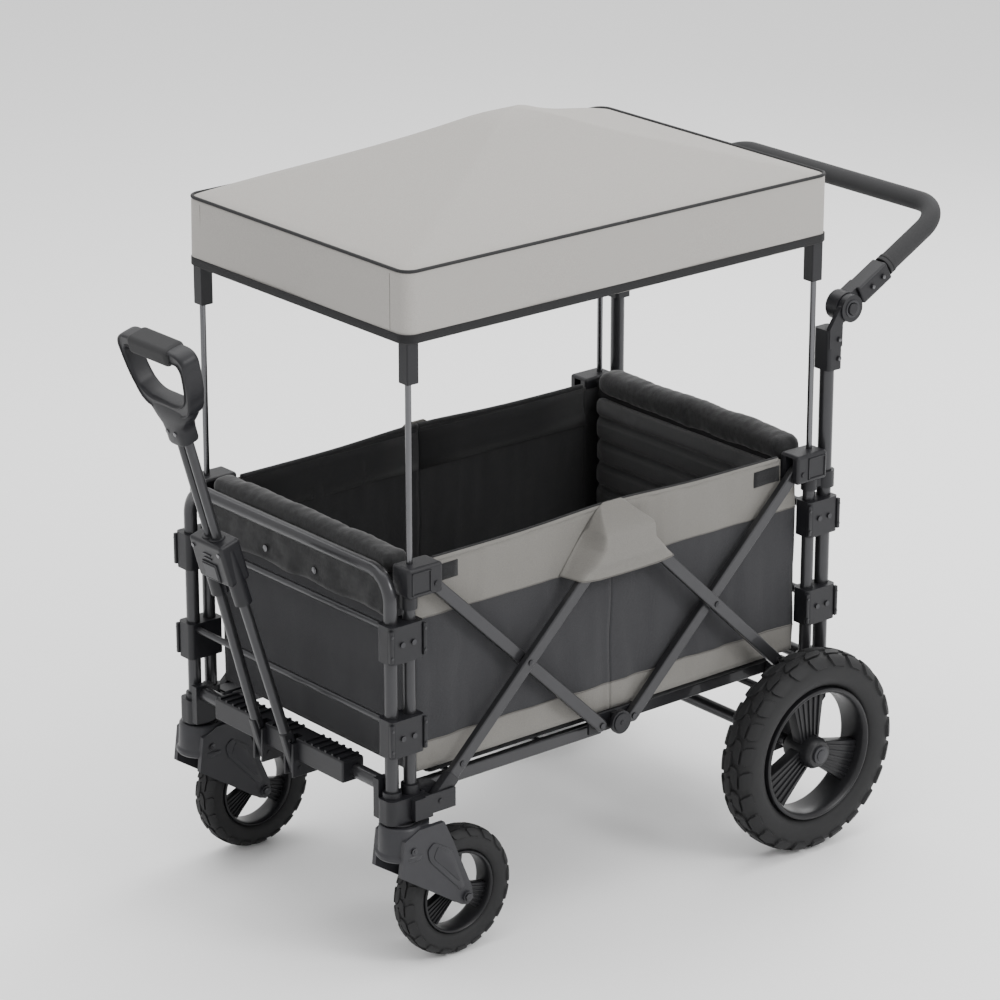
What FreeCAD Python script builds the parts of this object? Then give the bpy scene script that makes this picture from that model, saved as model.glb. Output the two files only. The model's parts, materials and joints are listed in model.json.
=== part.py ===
import FreeCAD, Part
import math
import os

import Sketcher

Vector = FreeCAD.Vector
Rotation = FreeCAD.Rotation
Placement = FreeCAD.Placement

# The folding wagon stands on z = 0. Its pull handle and casters are at -X, its push handle and big
# wheels at +X. Every x below is measured from the middle of the basket; centre_x then moves the
# whole wagon so that the origin is under the middle of its length, within a few millimetres.
DIMENSIONS = {
    "centre_x": -7.6,
    # Corner tubes and the front loop
    "tube_wall": 1.5,
    "post_x": 385,
    "post_y": 240,
    "post_dia": 19,
    "post_foot": 254,
    "post_top": 606,
    "slide_gap": 0.35,
    "loop_x": 416,
    "loop_y": 238,
    "loop_dia": 20,
    "loop_foot": 250,
    "loop_top": 605,
    "loop_bend": 42,
    "loop_rod_dia": 10,
    "loop_rod_high": 524,
    "loop_rod_low": 382,
    "push_post_x": 418,
    "push_post_dia": 22,
    "push_post_top": 795,
    "cross_tube_dia": 22,
    "cross_tube_x": 414,
    "cross_tube_z": 282,
    "cross_tube_half": 214,
    "rear_rod_dia": 14,
    "rear_tube_z": 262,
    # Clamps
    "clamp_near_x": 370.5,
    "clamp_far_x": 431,
    "clamp_inner_y": 224,
    "clamp_outer_y": 258,
    "clamp_low_foot": 336,
    "clamp_high_foot": 478,
    "clamp_height": 56,
    "clamp_screw_x": 401,
    "screw_dia": 8,
    "screw_height": 2.5,
    # Corner brackets
    "bracket_inner_y": 222,
    "top_outer_y": 262,
    "top_bracket_foot": 570,
    "top_bracket_top": 615,
    "cheek_inner_y": 264.3,
    "cheek_outer_y": 268.6,
    # Scissor
    "half_span": 352,
    "pin_low": 256,
    "arm_long": 238,
    "arm_short": 207,
    "hub_half": 31,
    "bar_wide": 19,
    "bar_thick": 12,
    "bar_outer_y": 257,
    "bar_inner_y": 243,
    "pin_dia": 8,
    "pin_gap": 0.4,
    # Floor rails and boards
    "rail_z": 260,
    "rail_high": 20,
    "rail_thick": 14,
    "rail_front_y": 214.5,
    "rail_rear_y": 194.5,
    "board_thick": 13,
    "board_half_y": 184,
    "batten_dia": 8,
    # Fabric basket
    "fabric": 6,
    "panel_y": 226,
    "panel_foot": 290,
    "panel_top": 604,
    "wall_x": 369,
    "wall_half_y": 219,
    # Canopy
    "rod_x": 383,
    "rod_dia": 9,
    "rod_top": 905,
    "sleeve_x": 381.5,
    "sleeve_y": 239.5,
    "sleeve_wide": 20.6,
    "sleeve_foot": 879,
    "sleeve_top": 1034,
    "canopy_half_x": 396,
    "canopy_half_y": 254,
    "valance_foot": 940,
    "canopy_shoulder": 1041,
    "canopy_peak": 1157,
    "canopy_sheet": 3,
    # Wheels
    "rear_wheel_x": 333.5,
    "rear_radius": 159,
    "rear_inner_y": 270.5,
    "rear_wide": 65,
    "rear_rim": 104,
    "front_wheel_x": 312,
    "front_radius": 98,
    "front_wide": 44,
    "front_rim": 62,
    "caster_x": 405,
    "caster_y": 243,
    "stem_dia": 16,
    "axle_dia": 12,
    "fork_half": 34,
    "fork_plate": 8,
    # Pull handle
    "pull_x": 436,
    "pull_z": 256,
    "pull_tilt": 16.4,
    "pull_tube_dia": 16,
    "pull_inner_dia": 14,
    "pull_inner_y": 9.5,
    "pull_foot_y": 37,
    "pull_block_y": 27,
    "block_foot": 318,
    "block_top": 385,
    "neck_foot": 549,
    "grip_top": 708,
    "grip_depth": 34,
    # Push handle
    "push_x": 447,
    "push_z": 826,
    "push_tilt": 61.7,
    "push_bar_dia": 22,
    "push_grip_dia": 30,
    "push_reach": 238,
    "push_bend": 52,
    "hinge_dia": 45,
    "hinge_seam_y": 248,
    # Brake
    "brake_x": 378,
    "brake_z": 200,
    "brake_dia": 12,
}

# One spoke of each wheel stands five degrees off upright.
SPOKE_TURN = -35
BAR_ROUNDING = 2.5
BOX_CORNER = 1.5
SIDES = (("left", -1), ("right", 1))
ENDS = (("front", -1), ("rear", 1))
TURN = {
    "X": Rotation(Vector(0, 1, 0), 90),
    "Y": Rotation(Vector(1, 0, 0), -90),
    "Z": Rotation(),
}

doc = FreeCAD.newDocument("kids_pull_wagon")
sub_parts = []


# ---------------------------------------------------------------- sheet and small helpers

def make_sheet():
    """Write the driving dimensions into the spreadsheet, one alias a row."""
    sheet = doc.addObject("Spreadsheet::Sheet", "dims")
    for row, (alias, value) in enumerate(DIMENSIONS.items(), start=1):
        sheet.set(f"A{row}", alias)
        sheet.set(f"B{row}", str(value))
        sheet.setAlias(f"B{row}", alias)
    doc.recompute()


def size(alias):
    """The number that a cell of the sheet holds."""
    return float(doc.getObject("dims").get(alias))


def bind(piece, sizes):
    """Bind properties to expressions over the sheet."""
    for prop, expression in sizes.items():
        piece.setExpression(prop, str(expression))


def move(piece, x, y, z):
    """Bind a piece's place, x measured from the middle of the basket."""
    bind(piece, {
        "Placement.Base.x": f"({x}) + dims.centre_x",
        "Placement.Base.y": str(y),
        "Placement.Base.z": str(z),
    })


def at(x, y, z):
    """A point of the wagon as a vector, moved with the origin."""
    return Vector(x + size("centre_x"), y, z)


def rod(name, axis, start, length, dia):
    """A round bar along one axis."""
    piece = doc.addObject("Part::Cylinder", name)
    piece.Placement = Placement(Vector(), TURN[axis])
    bind(piece, {"Radius": f"({dia}) / 2", "Height": length})
    move(piece, *start)
    return piece


def block(name, x, y, z):
    """A box between pairs of expressions (low, high)."""
    piece = doc.addObject("Part::Box", name)
    for prop, (low, high) in (("Length", x), ("Width", y), ("Height", z)):
        bind(piece, {prop: f"({high}) - ({low})"})
    move(piece, x[0], y[0], z[0])
    return piece


def cut(name, base, tools):
    """Take one tool or several away from a base."""
    piece = doc.addObject("Part::Cut", name)
    piece.Base = base
    piece.Tool = tools[0] if len(tools) == 1 else fuse(name + "_tools", tools)
    return piece


def fuse(name, pieces):
    """Weld pieces into one solid."""
    piece = doc.addObject("Part::MultiFuse", name)
    piece.Shapes = pieces
    piece.Refine = True
    return piece


def group(name, pieces):
    """Keep separate solids together in one node."""
    piece = doc.addObject("Part::Compound", name)
    piece.Links = pieces
    return piece


def tube(name, axis, start, length, dia):
    """A straight hollow tube with the common wall."""
    outside = rod(name + "_outside", axis, start, length, dia)
    inside = rod(name + "_inside", axis, start, length, f"({dia}) - 2 * dims.tube_wall")
    return cut(name, outside, [inside])


def soften(name, base, radius, keep):
    """Round the edges of a base for which keep(edge) is true."""
    doc.recompute()
    piece = doc.addObject("Part::Fillet", name)
    piece.Base = base
    piece.Edges = [(i, radius, radius) for i, edge in enumerate(base.Shape.Edges, start=1) if keep(edge)]
    return piece


def any_edge(edge):
    return True


def upright(edge):
    """True for a straight edge along Z."""
    ends = [v.Point for v in edge.Vertexes]
    return len(ends) == 2 and abs(ends[0].z - ends[1].z) > 0.9 * edge.Length


def pillow(name, x, y, z, radius):
    """A box with every edge rounded."""
    return soften(name, block(name + "_box", x, y, z), radius, any_edge)


def across(side, inner, outer):
    """The (low, high) pair in y of something between two distances from the middle."""
    if side > 0:
        return inner, outer
    return f"-({outer})", f"-({inner})"


def along(end, inner, outer):
    """The (low, high) pair in x of something between two distances from the middle."""
    return across(end, inner, outer)


def keep_part(piece, label):
    """Name a finished sub-part; the label names its file."""
    piece.Label = label
    sub_parts.append(piece)
    return piece


# ---------------------------------------------------------------- PartDesign helpers

def new_body(name):
    return doc.addObject("PartDesign::Body", name)


def new_sketch(body, name, plane="XY_Plane"):
    """A sketch on one of the body's own origin planes."""
    sketch = body.newObject("Sketcher::SketchObject", name)
    origin_plane = [f for f in body.Origin.OriginFeatures if f.Role == plane][0]
    sketch.AttachmentSupport = (origin_plane, [""])
    sketch.MapMode = "FlatFace"
    return sketch


def draw_loop(sketch, points):
    """A closed outline of straight lines."""
    corners = [Vector(x, y, 0) for x, y in points]
    for a, b in zip(corners, corners[1:] + corners[:1]):
        sketch.addGeometry(Part.LineSegment(a, b), False)


def draw_edges(sketch, shape_edges):
    """Copy the curves of planar Part edges into a sketch."""
    for edge in shape_edges:
        if isinstance(edge.Curve, Part.Circle):
            sketch.addGeometry(Part.ArcOfCircle(edge.Curve, edge.FirstParameter, edge.LastParameter), False)
        else:
            ends = [v.Point for v in edge.Vertexes]
            sketch.addGeometry(Part.LineSegment(ends[0], ends[1]), False)


def draw_circle(sketch, x, y, radius):
    """A circle whose radius is bound to an expression."""
    index = sketch.addGeometry(Part.Circle(Vector(x, y, 0), Vector(0, 0, 1), 1), False)
    constraint = sketch.addConstraint(Sketcher.Constraint("Radius", index, 1))
    sketch.addConstraint(Sketcher.Constraint("DistanceX", index, 3, x))
    sketch.addConstraint(Sketcher.Constraint("DistanceY", index, 3, y))
    sketch.setExpression(f"Constraints[{constraint}]", str(radius))


def draw_slot(sketch, length, width):
    """A long hole outline from the origin along x, with round ends."""
    half = width / 2
    sketch.addGeometry(Part.LineSegment(Vector(0, half, 0), Vector(length, half, 0)), False)
    sketch.addGeometry(Part.LineSegment(Vector(0, -half, 0), Vector(length, -half, 0)), False)
    near = Part.Circle(Vector(0, 0, 0), Vector(0, 0, 1), half)
    far = Part.Circle(Vector(length, 0, 0), Vector(0, 0, 1), half)
    sketch.addGeometry(Part.ArcOfCircle(near, math.pi / 2, 1.5 * math.pi), False)
    sketch.addGeometry(Part.ArcOfCircle(far, -math.pi / 2, math.pi / 2), False)


def pad(body, sketch, length, midplane=True):
    feature = body.newObject("PartDesign::Pad", sketch.Name + "_pad")
    feature.Profile = sketch
    feature.Midplane = midplane
    feature.setExpression("Length", str(length))
    return feature


def revolve(body, sketch, axis):
    """Turn a sketch about one of its own axes, H_Axis or V_Axis."""
    feature = body.newObject("PartDesign::Revolution", sketch.Name + "_turned")
    feature.Profile = sketch
    feature.ReferenceAxis = (sketch, [axis])
    feature.Angle = 360
    return feature


def bent_path(points, bend):
    """Straight stretches joined by round bends: the edges of a path in the XY plane."""
    edges = []
    here = Vector(*points[0], 0)
    for before, corner, after in zip(points, points[1:], points[2:]):
        corner = Vector(*corner, 0)
        incoming = (corner - Vector(*before, 0)).normalize()
        outgoing = (Vector(*after, 0) - corner).normalize()
        half_turn = incoming.getAngle(outgoing) / 2
        setback = bend * math.tan(half_turn)
        start = corner - incoming * setback
        finish = corner + outgoing * setback
        inward = (outgoing - incoming).normalize()
        middle = corner + inward * (bend / math.cos(half_turn) - bend)
        edges.append(Part.LineSegment(here, start).toShape())
        edges.append(Part.Arc(start, middle, finish).toShape())
        here = finish
    edges.append(Part.LineSegment(here, Vector(*points[-1], 0)).toShape())
    return edges


def bent_tube(name, points, bend, outer, inner):
    """A round tube along a bent path that starts on the x axis going up along y."""
    body = new_body(name)
    path = new_sketch(body, name + "_path")
    draw_edges(path, bent_path(points, bend))
    ring = new_sketch(body, name + "_ring", "XZ_Plane")
    ring.AttachmentOffset = Placement(Vector(0, 0, -points[0][1]), Rotation())
    draw_circle(ring, points[0][0], 0, f"({outer}) / 2")
    draw_circle(ring, points[0][0], 0, f"({inner}) / 2")
    doc.recompute()
    pipe = body.newObject("PartDesign::AdditivePipe", name + "_pipe")
    pipe.Profile = ring
    pipe.Spine = path
    return body


# ---------------------------------------------------------------- posts, loop and clamps

def sliding_posts(end_name, end):
    """The two corner tubes of one end; they slide up through the clamps when the wagon folds."""
    posts = []
    for side_name, side in SIDES:
        foot = (f"{end} * dims.post_x", f"{side} * dims.post_y", "dims.post_foot")
        height = "dims.post_top - dims.post_foot"
        posts.append(tube(f"{end_name}_post_{side_name}", "Z", foot, height, "dims.post_dia"))
    keep_part(group(f"{end_name}_post_pair", posts), f"{end_name}_posts")


def push_posts():
    """The two tubes that carry the push handle."""
    posts = []
    for side_name, side in SIDES:
        foot = ("dims.push_post_x", f"{side} * dims.loop_y", "dims.loop_foot")
        height = "dims.push_post_top - dims.loop_foot"
        posts.append(tube(f"push_post_{side_name}", "Z", foot, height, "dims.push_post_dia"))
    keep_part(group("push_post_pair", posts), "push_posts")


def front_loop():
    """The bent tube across the front end, two thin rods between its legs and the low cross tube."""
    y = size("loop_y")
    foot = size("loop_foot")
    top = size("loop_top")
    points = [(-y, foot), (-y, top), (y, top), (y, foot)]
    inner = "dims.loop_dia - 2 * dims.tube_wall"
    body = bent_tube("front_loop_body", points, size("loop_bend"), "dims.loop_dia", inner)
    upright_turn = Rotation(Vector(0, 0, 1), 90) * Rotation(Vector(1, 0, 0), 90)
    body.Placement = Placement(at(-size("loop_x"), 0, 0), upright_turn)
    keep_part(body, "front_loop")
    rods = []
    for level in ("high", "low"):
        start = ("-dims.loop_x", "-dims.clamp_inner_y", f"dims.loop_rod_{level}")
        length = "2 * dims.clamp_inner_y"
        rods.append(rod(f"loop_rod_{level}", "Y", start, length, "dims.loop_rod_dia"))
    start = ("-dims.cross_tube_x", "-dims.cross_tube_half", "dims.cross_tube_z")
    rods.append(tube("cross_tube", "Y", start, "2 * dims.cross_tube_half", "dims.cross_tube_dia"))
    keep_part(group("front_rods", rods), "front_cross_rods")


def clamp(name, end, side, level, fixed_x, fixed_dia):
    """A two-bore block: tight on the fixed tube, loose on the sliding post."""
    corner = 8
    foot = f"dims.clamp_{level}_foot"
    through = "dims.clamp_height + 2"
    y = across(side, "dims.clamp_inner_y", "dims.clamp_outer_y")
    x = along(end, "dims.clamp_near_x", "dims.clamp_far_x")
    body = soften(name + "_rounded", block(name + "_block", x, y, (foot, f"{foot} + dims.clamp_height")),
                  corner, upright)
    fixed = rod(name + "_fixed_bore", "Z", (f"{end} * {fixed_x}", f"{side} * dims.loop_y", f"{foot} - 1"),
                through, fixed_dia)
    slide = rod(name + "_slide_bore", "Z", (f"{end} * dims.post_x", f"{side} * dims.post_y", f"{foot} - 1"),
                through, "dims.post_dia + 2 * dims.slide_gap")
    return cut(name, body, [fixed, slide])


def clamps(end_name, end, fixed_x, fixed_dia):
    pieces = []
    for side_name, side in SIDES:
        for level in ("low", "high"):
            name = f"{end_name}_clamp_{level}_{side_name}"
            pieces.append(clamp(name, end, side, level, fixed_x, fixed_dia))
    keep_part(group(f"{end_name}_clamp_set", pieces), f"{end_name}_clamps")


def rear_cross_rods():
    """Rods that join the left and right rear clamps, and the low tube between the brackets."""
    inset = 6
    rods = []
    for level in ("low", "high"):
        height = f"dims.clamp_{level}_foot + dims.clamp_height / 2"
        start = ("dims.push_post_x", "-dims.clamp_inner_y", height)
        rods.append(rod(f"rear_rod_{level}", "Y", start, "2 * dims.clamp_inner_y", "dims.rear_rod_dia"))
    start = ("dims.push_post_x", f"-dims.clamp_inner_y + {inset}", "dims.rear_tube_z")
    length = f"2 * (dims.clamp_inner_y - {inset})"
    rods.append(tube("rear_low_tube", "Y", start, length, "dims.cross_tube_dia"))
    keep_part(group("rear_rods", rods), "rear_cross_rods")


# ---------------------------------------------------------------- brackets

def top_bracket(end_name, end, side_name, side):
    """The corner block that carries a post, a canopy rod and the end of a scissor bar."""
    name = f"{end_name}_top_{side_name}"
    post_place = (f"{end} * dims.post_x", f"{side} * dims.post_y")
    push_place = ("dims.push_post_x", f"{side} * dims.loop_y")
    near_x, far_x, corner = 340, 401, 5
    neck_foot, neck_height, neck_dia = 550, 30, 25
    ring_foot, ring_height, ring_dia = 548, 26, 31
    bore_foot = 540
    shell = pillow(name + "_shell", along(end, near_x, far_x), across(side, "dims.bracket_inner_y",
                   "dims.top_outer_y"), ("dims.top_bracket_foot", "dims.top_bracket_top"), corner)
    whole = [shell, rod(name + "_neck", "Z", (*post_place, neck_foot), neck_height, neck_dia)]
    if end > 0:
        whole.append(rod(name + "_ring", "Z", (*push_place, ring_foot), ring_height, ring_dia))
        whole.append(block(name + "_lug", (390, 408), across(side, 231, 246), (552, 574)))
    whole = fuse(name + "_whole", whole)
    post = rod(name + "_post", "Z", (*post_place, bore_foot), f"dims.post_top - {bore_foot}", "dims.post_dia")
    stay_foot = "dims.post_top - 16"
    stay = rod(name + "_stay", "Z", (f"{end} * dims.rod_x", post_place[1], stay_foot), 40, "dims.rod_dia")
    pocket = block(name + "_pocket", along(end, 330, 368), across(side, 235.5, 250.5), (560, 610.5))
    tools = [post, stay, pocket]
    if end > 0:
        tools.append(rod(name + "_push_bore", "Z", (*push_place, bore_foot), 80,
                         "dims.push_post_dia + 2 * dims.slide_gap"))
    screw_x, screw_z = 352, 585
    screw_place = (f"{end * screw_x}", f"{side} * (dims.top_outer_y - 1)", screw_z)
    screw = screw_head(name + "_screw", screw_place, side)
    return fuse(name, [cut(name + "_cut", whole, tools), screw])


def screw_head(name, place, side):
    """A low round head on a side face; place is on the face."""
    x, y, z = place
    start = (x, y, z) if side > 0 else (x, f"({y}) - dims.screw_height", z)
    return rod(name, "Y", start, "dims.screw_height", "dims.screw_dia")


def top_brackets(end_name, end):
    pieces = [top_bracket(end_name, end, side_name, side) for side_name, side in SIDES]
    keep_part(group(f"{end_name}_top_pair", pieces), f"{end_name}_top_brackets")


def low_bracket(end_name, end, side_name, side):
    """The foot block of a corner: tube sockets, the cheek of the scissor bar, the rail's hinge pin."""
    name = f"{end_name}_low_{side_name}"
    fixed_x = "dims.loop_x" if end < 0 else "dims.push_post_x"
    fixed_dia = "dims.loop_dia" if end < 0 else "dims.push_post_dia"
    rail_inner = 222.5 if end < 0 else 203
    nose_corner, cheek_corner = 12, 1.5
    collar_foot = 265
    bore_height = 80
    post_place = (f"{end} * dims.post_x", f"{side} * dims.post_y")
    fixed_place = (f"{end} * {fixed_x}", f"{side} * dims.loop_y")
    nose = block(name + "_nose_box", along(end, 366, 434), across(side, "dims.bracket_inner_y",
                 "dims.clamp_outer_y"), (233, 270))
    cheek = block(name + "_cheek_box", along(end, 324, 380), across(side, "dims.cheek_inner_y",
                  "dims.cheek_outer_y"), (240, 270))
    if end < 0:
        socket = block(name + "_socket", along(end, 399, 431), across(side, "dims.cross_tube_half", 226),
                       (236, 296))
    else:
        socket = block(name + "_socket", along(end, 402, 434), across(side, 218, 226), (236, 280))
    pieces = [
        soften(name + "_nose", nose, nose_corner, upright),
        block(name + "_outer", along(end, 366, 398), across(side, 240, "dims.cheek_outer_y"), (236, 268)),
        soften(name + "_cheek", cheek, cheek_corner, any_edge),
        block(name + "_web", along(end, 338, 372), across(side, rail_inner, 249), (236, 272)),
        rod(name + "_post_collar", "Z", (*post_place, collar_foot), 19, 27),
        rod(name + "_fixed_collar", "Z", (*fixed_place, collar_foot), 14, 28),
        socket,
    ]
    post = rod(name + "_post", "Z", (*post_place, "dims.post_foot - 1"), bore_height,
               "dims.post_dia + 2 * dims.slide_gap")
    fixed = rod(name + "_fixed", "Z", (*fixed_place, "dims.loop_foot"), bore_height, fixed_dia)
    whole = cut(name + "_cut", fuse(name + "_whole", pieces), [post, fixed])
    pin_x = f"{end} * dims.half_span"
    bar_pin_y = across(side, 248, 270)
    bar_pin = rod(name + "_bar_pin", "Y", (pin_x, bar_pin_y[0], "dims.pin_low"), 22, "dims.pin_dia")
    pin_reach = 15.2
    rail_pin_y = across(side, rail_inner - pin_reach, rail_inner + 1)
    rail_pin = rod(name + "_rail_pin", "Y", (pin_x, rail_pin_y[0], "dims.rail_z"), pin_reach + 1,
                   "dims.pin_dia")
    return fuse(name, [whole, bar_pin, rail_pin])


def low_brackets(end_name, end):
    pieces = [low_bracket(end_name, end, side_name, side) for side_name, side in SIDES]
    keep_part(group(f"{end_name}_low_pair", pieces), f"{end_name}_lower_brackets")


# ---------------------------------------------------------------- scissor

def rest_angle():
    """The angle of the bars above the floor at rest, in degrees."""
    reach = size("half_span") - size("hub_half")
    return math.degrees(math.acos(reach / (size("arm_long") + size("arm_short"))))


def bar_rise():
    """The height that a frame pin has over the other frame pin of the same corner."""
    return 2 * size("arm_long") * math.sin(math.radians(rest_angle()))


def scissor_bar(name, start, angle, rivet_on):
    """A flat tube from a frame pin to a hub pin, with the crossing bore between them."""
    body = new_body(name + "_body")
    sketch = new_sketch(body, name + "_outline")
    length = size("arm_long") + size("arm_short")
    draw_slot(sketch, length, size("bar_wide"))
    slab = pad(body, sketch, "dims.bar_thick")
    doc.recompute()
    rounding = body.newObject("PartDesign::Fillet", name + "_rounding")
    rims = [f"Edge{i}" for i, edge in enumerate(slab.Shape.Edges, start=1)
            if abs(abs(edge.CenterOfMass.z) - size("bar_thick") / 2) < 0.01]
    rounding.Base = (slab, rims)
    rounding.Radius = BAR_ROUNDING
    holes = new_sketch(body, name + "_holes")
    bore = "dims.pin_dia / 2 + dims.pin_gap / 2"
    for place in (0, length):
        draw_circle(holes, place, 0, bore)
    if not rivet_on:
        draw_circle(holes, size("arm_long"), 0, bore)
    doc.recompute()
    pocket = body.newObject("PartDesign::Pocket", name + "_bores")
    pocket.Profile = holes
    pocket.Midplane = True
    pocket.setExpression("Length", "dims.bar_thick + 2")
    hollow = doc.addObject("Part::Box", name + "_hollow")
    overshoot = 20
    bind(hollow, {
        "Length": f"dims.arm_long + dims.arm_short + 2 * {overshoot}",
        "Width": "dims.bar_wide - 2 * dims.tube_wall",
        "Height": "dims.bar_thick - 2 * dims.tube_wall",
    })
    wall = size("tube_wall")
    corner = Vector(-overshoot, wall - size("bar_wide") / 2, wall - size("bar_thick") / 2)
    hollow.Placement = Placement(corner, Rotation())
    bar = cut(name + "_tube", body, [hollow])
    if rivet_on:
        shank = doc.addObject("Part::Cylinder", name + "_rivet")
        bind(shank, {"Radius": "dims.pin_dia / 2", "Height": "2 * dims.bar_thick + 6"})
        toward_inner = -1 if rivet_on > 0 else 1
        low = -size("bar_thick") / 2 - 2 if toward_inner > 0 else -1.5 * size("bar_thick") - 4
        shank.Placement = Placement(Vector(size("arm_long"), 0, low), Rotation())
        bar = fuse(name + "_riveted", [bar, shank])
    turn = Rotation(Vector(0, 1, 0), -angle) * Rotation(Vector(1, 0, 0), 90)
    bar.Placement = Placement(start, turn)
    return bar


def scissor():
    """Bars a and d hang from the top brackets, bars b and c stand on the low ones."""
    angle = rest_angle()
    low = size("pin_low")
    high = low + bar_rise()
    span = size("half_span")
    plans = (
        ("bars_a", -span, high, -angle, "bar_inner_y"),
        ("bars_b", -span, low, angle, "bar_outer_y"),
        ("bars_c", span, low, 180 - angle, "bar_outer_y"),
        ("bars_d", span, high, 180 + angle, "bar_inner_y"),
    )
    for label, x, z, slope, layer in plans:
        bars = []
        for side_name, side in SIDES:
            start = at(x, side * size(layer), z)
            rivet_on = side if layer == "bar_outer_y" else 0
            bars.append(scissor_bar(f"{label}_{side_name}", start, slope, -rivet_on))
        keep_part(group(label + "_pair", bars), label)


def hub(level, side_name, side, z, plates):
    """Two plates over a pair of bar ends, with a spacer between the ends."""
    name = f"{level}_hub_{side_name}"
    half_long, above, below, rounding = 46, 14, 16, 1
    half_spacer, disc_dia = 5.5, 36
    inner, outer = plates
    pieces = [block(name + "_spacer", (-half_spacer, half_spacer), across(side, inner[0] + 1, outer[1] - 1),
                    (z - 14, z + 12))]
    box = block(name + "_inner", (-half_long, half_long), across(side, *inner), (z - below, z + above))
    pieces.append(soften(name + "_inner_soft", box, rounding, any_edge))
    if level == "bottom":
        disc = rod(name + "_disc", "Y", (0, across(side, *outer)[0], z), outer[1] - outer[0], disc_dia)
        return fuse(name, pieces + [disc])
    box = block(name + "_outer", (-half_long, half_long), across(side, *outer), (z - below, z + above))
    pieces.append(soften(name + "_outer_soft", box, rounding, any_edge))
    for i, screw_x in enumerate(("-dims.hub_half", "dims.hub_half")):
        pieces.append(screw_head(f"{name}_screw{i}", (screw_x, f"{side * (outer[1] - 0.5)}", z), side))
    return fuse(name, pieces)


def hubs():
    """The low hub joins bars a and d with a round cover, the top one bars b and c."""
    rise = (size("arm_long") - size("arm_short")) * math.sin(math.radians(rest_angle()))
    reach = (size("arm_long") + size("arm_short")) * math.sin(math.radians(rest_angle()))
    plans = (
        ("bottom", size("pin_low") + rise, ((231, 236), (250.3, 256))),
        ("top", size("pin_low") + reach, ((244.5, 250), (264, 268))),
    )
    for level, z, plates in plans:
        pieces = [hub(level, side_name, side, z, plates) for side_name, side in SIDES]
        keep_part(group(f"{level}_hub_pair", pieces), f"{level}_hubs")


# ---------------------------------------------------------------- floor

def floor(end_name, end):
    """Two side rails that hinge on the low brackets, and the floor board that lies on them."""
    rails = []
    middle = f"dims.rail_{end_name}_y"
    half = "dims.rail_thick / 2"
    for side_name, side in SIDES:
        name = f"{end_name}_rail_{side_name}"
        y = across(side, f"{middle} - {half}", f"{middle} + {half}")
        z = ("dims.rail_z - dims.rail_high / 2", "dims.rail_z + dims.rail_high / 2")
        outside = soften(name + "_outside", block(name + "_box", along(end, 8, 362), y, z), 3, any_edge)
        y_in = across(side, f"{middle} - {half} + dims.tube_wall", f"{middle} + {half} - dims.tube_wall")
        z_in = (f"{z[0]} + dims.tube_wall", f"{z[1]} - dims.tube_wall")
        inside = block(name + "_inside", along(end, 0, 340), y_in, z_in)
        pin = rod(name + "_bore", "Y", (f"{end} * dims.half_span", y[0], "dims.rail_z"), "dims.rail_thick",
                  "dims.pin_dia + dims.pin_gap")
        rails.append(cut(name, outside, [inside, pin]))
    top = "dims.rail_z + dims.rail_high / 2"
    reach = f"({middle}) - {half}"
    for x in (120, 290):
        start = (f"{end * x}", f"-({reach})", f"{top} - dims.batten_dia / 2")
        rails.append(rod(f"{end_name}_batten_{x}", "Y", start, f"2 * ({reach})", "dims.batten_dia"))
    keep_part(group(f"{end_name}_rail_set", rails), f"{end_name}_rails")
    board_near, board_far, board_corner = 49, 322, 4
    board = pillow(f"{end_name}_board", along(end, board_near, board_far),
                   ("-dims.board_half_y", "dims.board_half_y"), (top, f"{top} + dims.board_thick"),
                   board_corner)
    keep_part(board, f"floor_board_{end_name}")


# ---------------------------------------------------------------- fabric

def side_panels(end_name, end):
    """Half of each long side of the basket, notched round the top bracket."""
    panels = []
    for side_name, side in SIDES:
        name = f"{end_name}_panel_{side_name}"
        y = across(side, "dims.panel_y - dims.fabric / 2", "dims.panel_y + dims.fabric / 2")
        main = block(name + "_main", along(end, 1, 337), y, ("dims.panel_foot", "dims.panel_top"))
        corner = block(name + "_corner", along(end, 330, 364), y, ("dims.panel_foot", 546))
        panels.append(fuse(name, [main, corner]))
    keep_part(group(f"{end_name}_panel_pair", panels), f"{end_name}_side_panels")


def front_wall():
    """The front end of the basket: a wall, the padded roll on top and the flap that hangs in front."""
    half = ("-dims.wall_half_y", "dims.wall_half_y")
    x = ("-dims.wall_x - dims.fabric / 2", "-dims.wall_x + dims.fabric / 2")
    wall = block("front_wall_sheet", x, half, (292, 596))
    roll = pillow("front_wall_roll", (-402, -352), (-216, 216), (588, 627), 14)
    flap = block("front_wall_flap", (-402, -397), (-214, 214), (534, 606))
    keep_part(fuse("front_wall_whole", [wall, roll, flap]), "front_wall")


def rear_wall():
    """The rear end of the basket: a wall, its padded back rest and the padded roll on top."""
    half = ("-dims.wall_half_y", "dims.wall_half_y")
    x = ("dims.wall_x - dims.fabric / 2", "dims.wall_x + dims.fabric / 2")
    wall = block("rear_wall_sheet", x, half, (292, 606))
    roll = pillow("rear_wall_roll", (346, 402), (-216, 216), (588, 632), 14)
    rest = pillow("rear_wall_rest", (342, 367), (-216, 216), (300, 600), 8)
    keep_part(fuse("rear_wall_whole", [wall, roll, rest]), "rear_wall")


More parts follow.
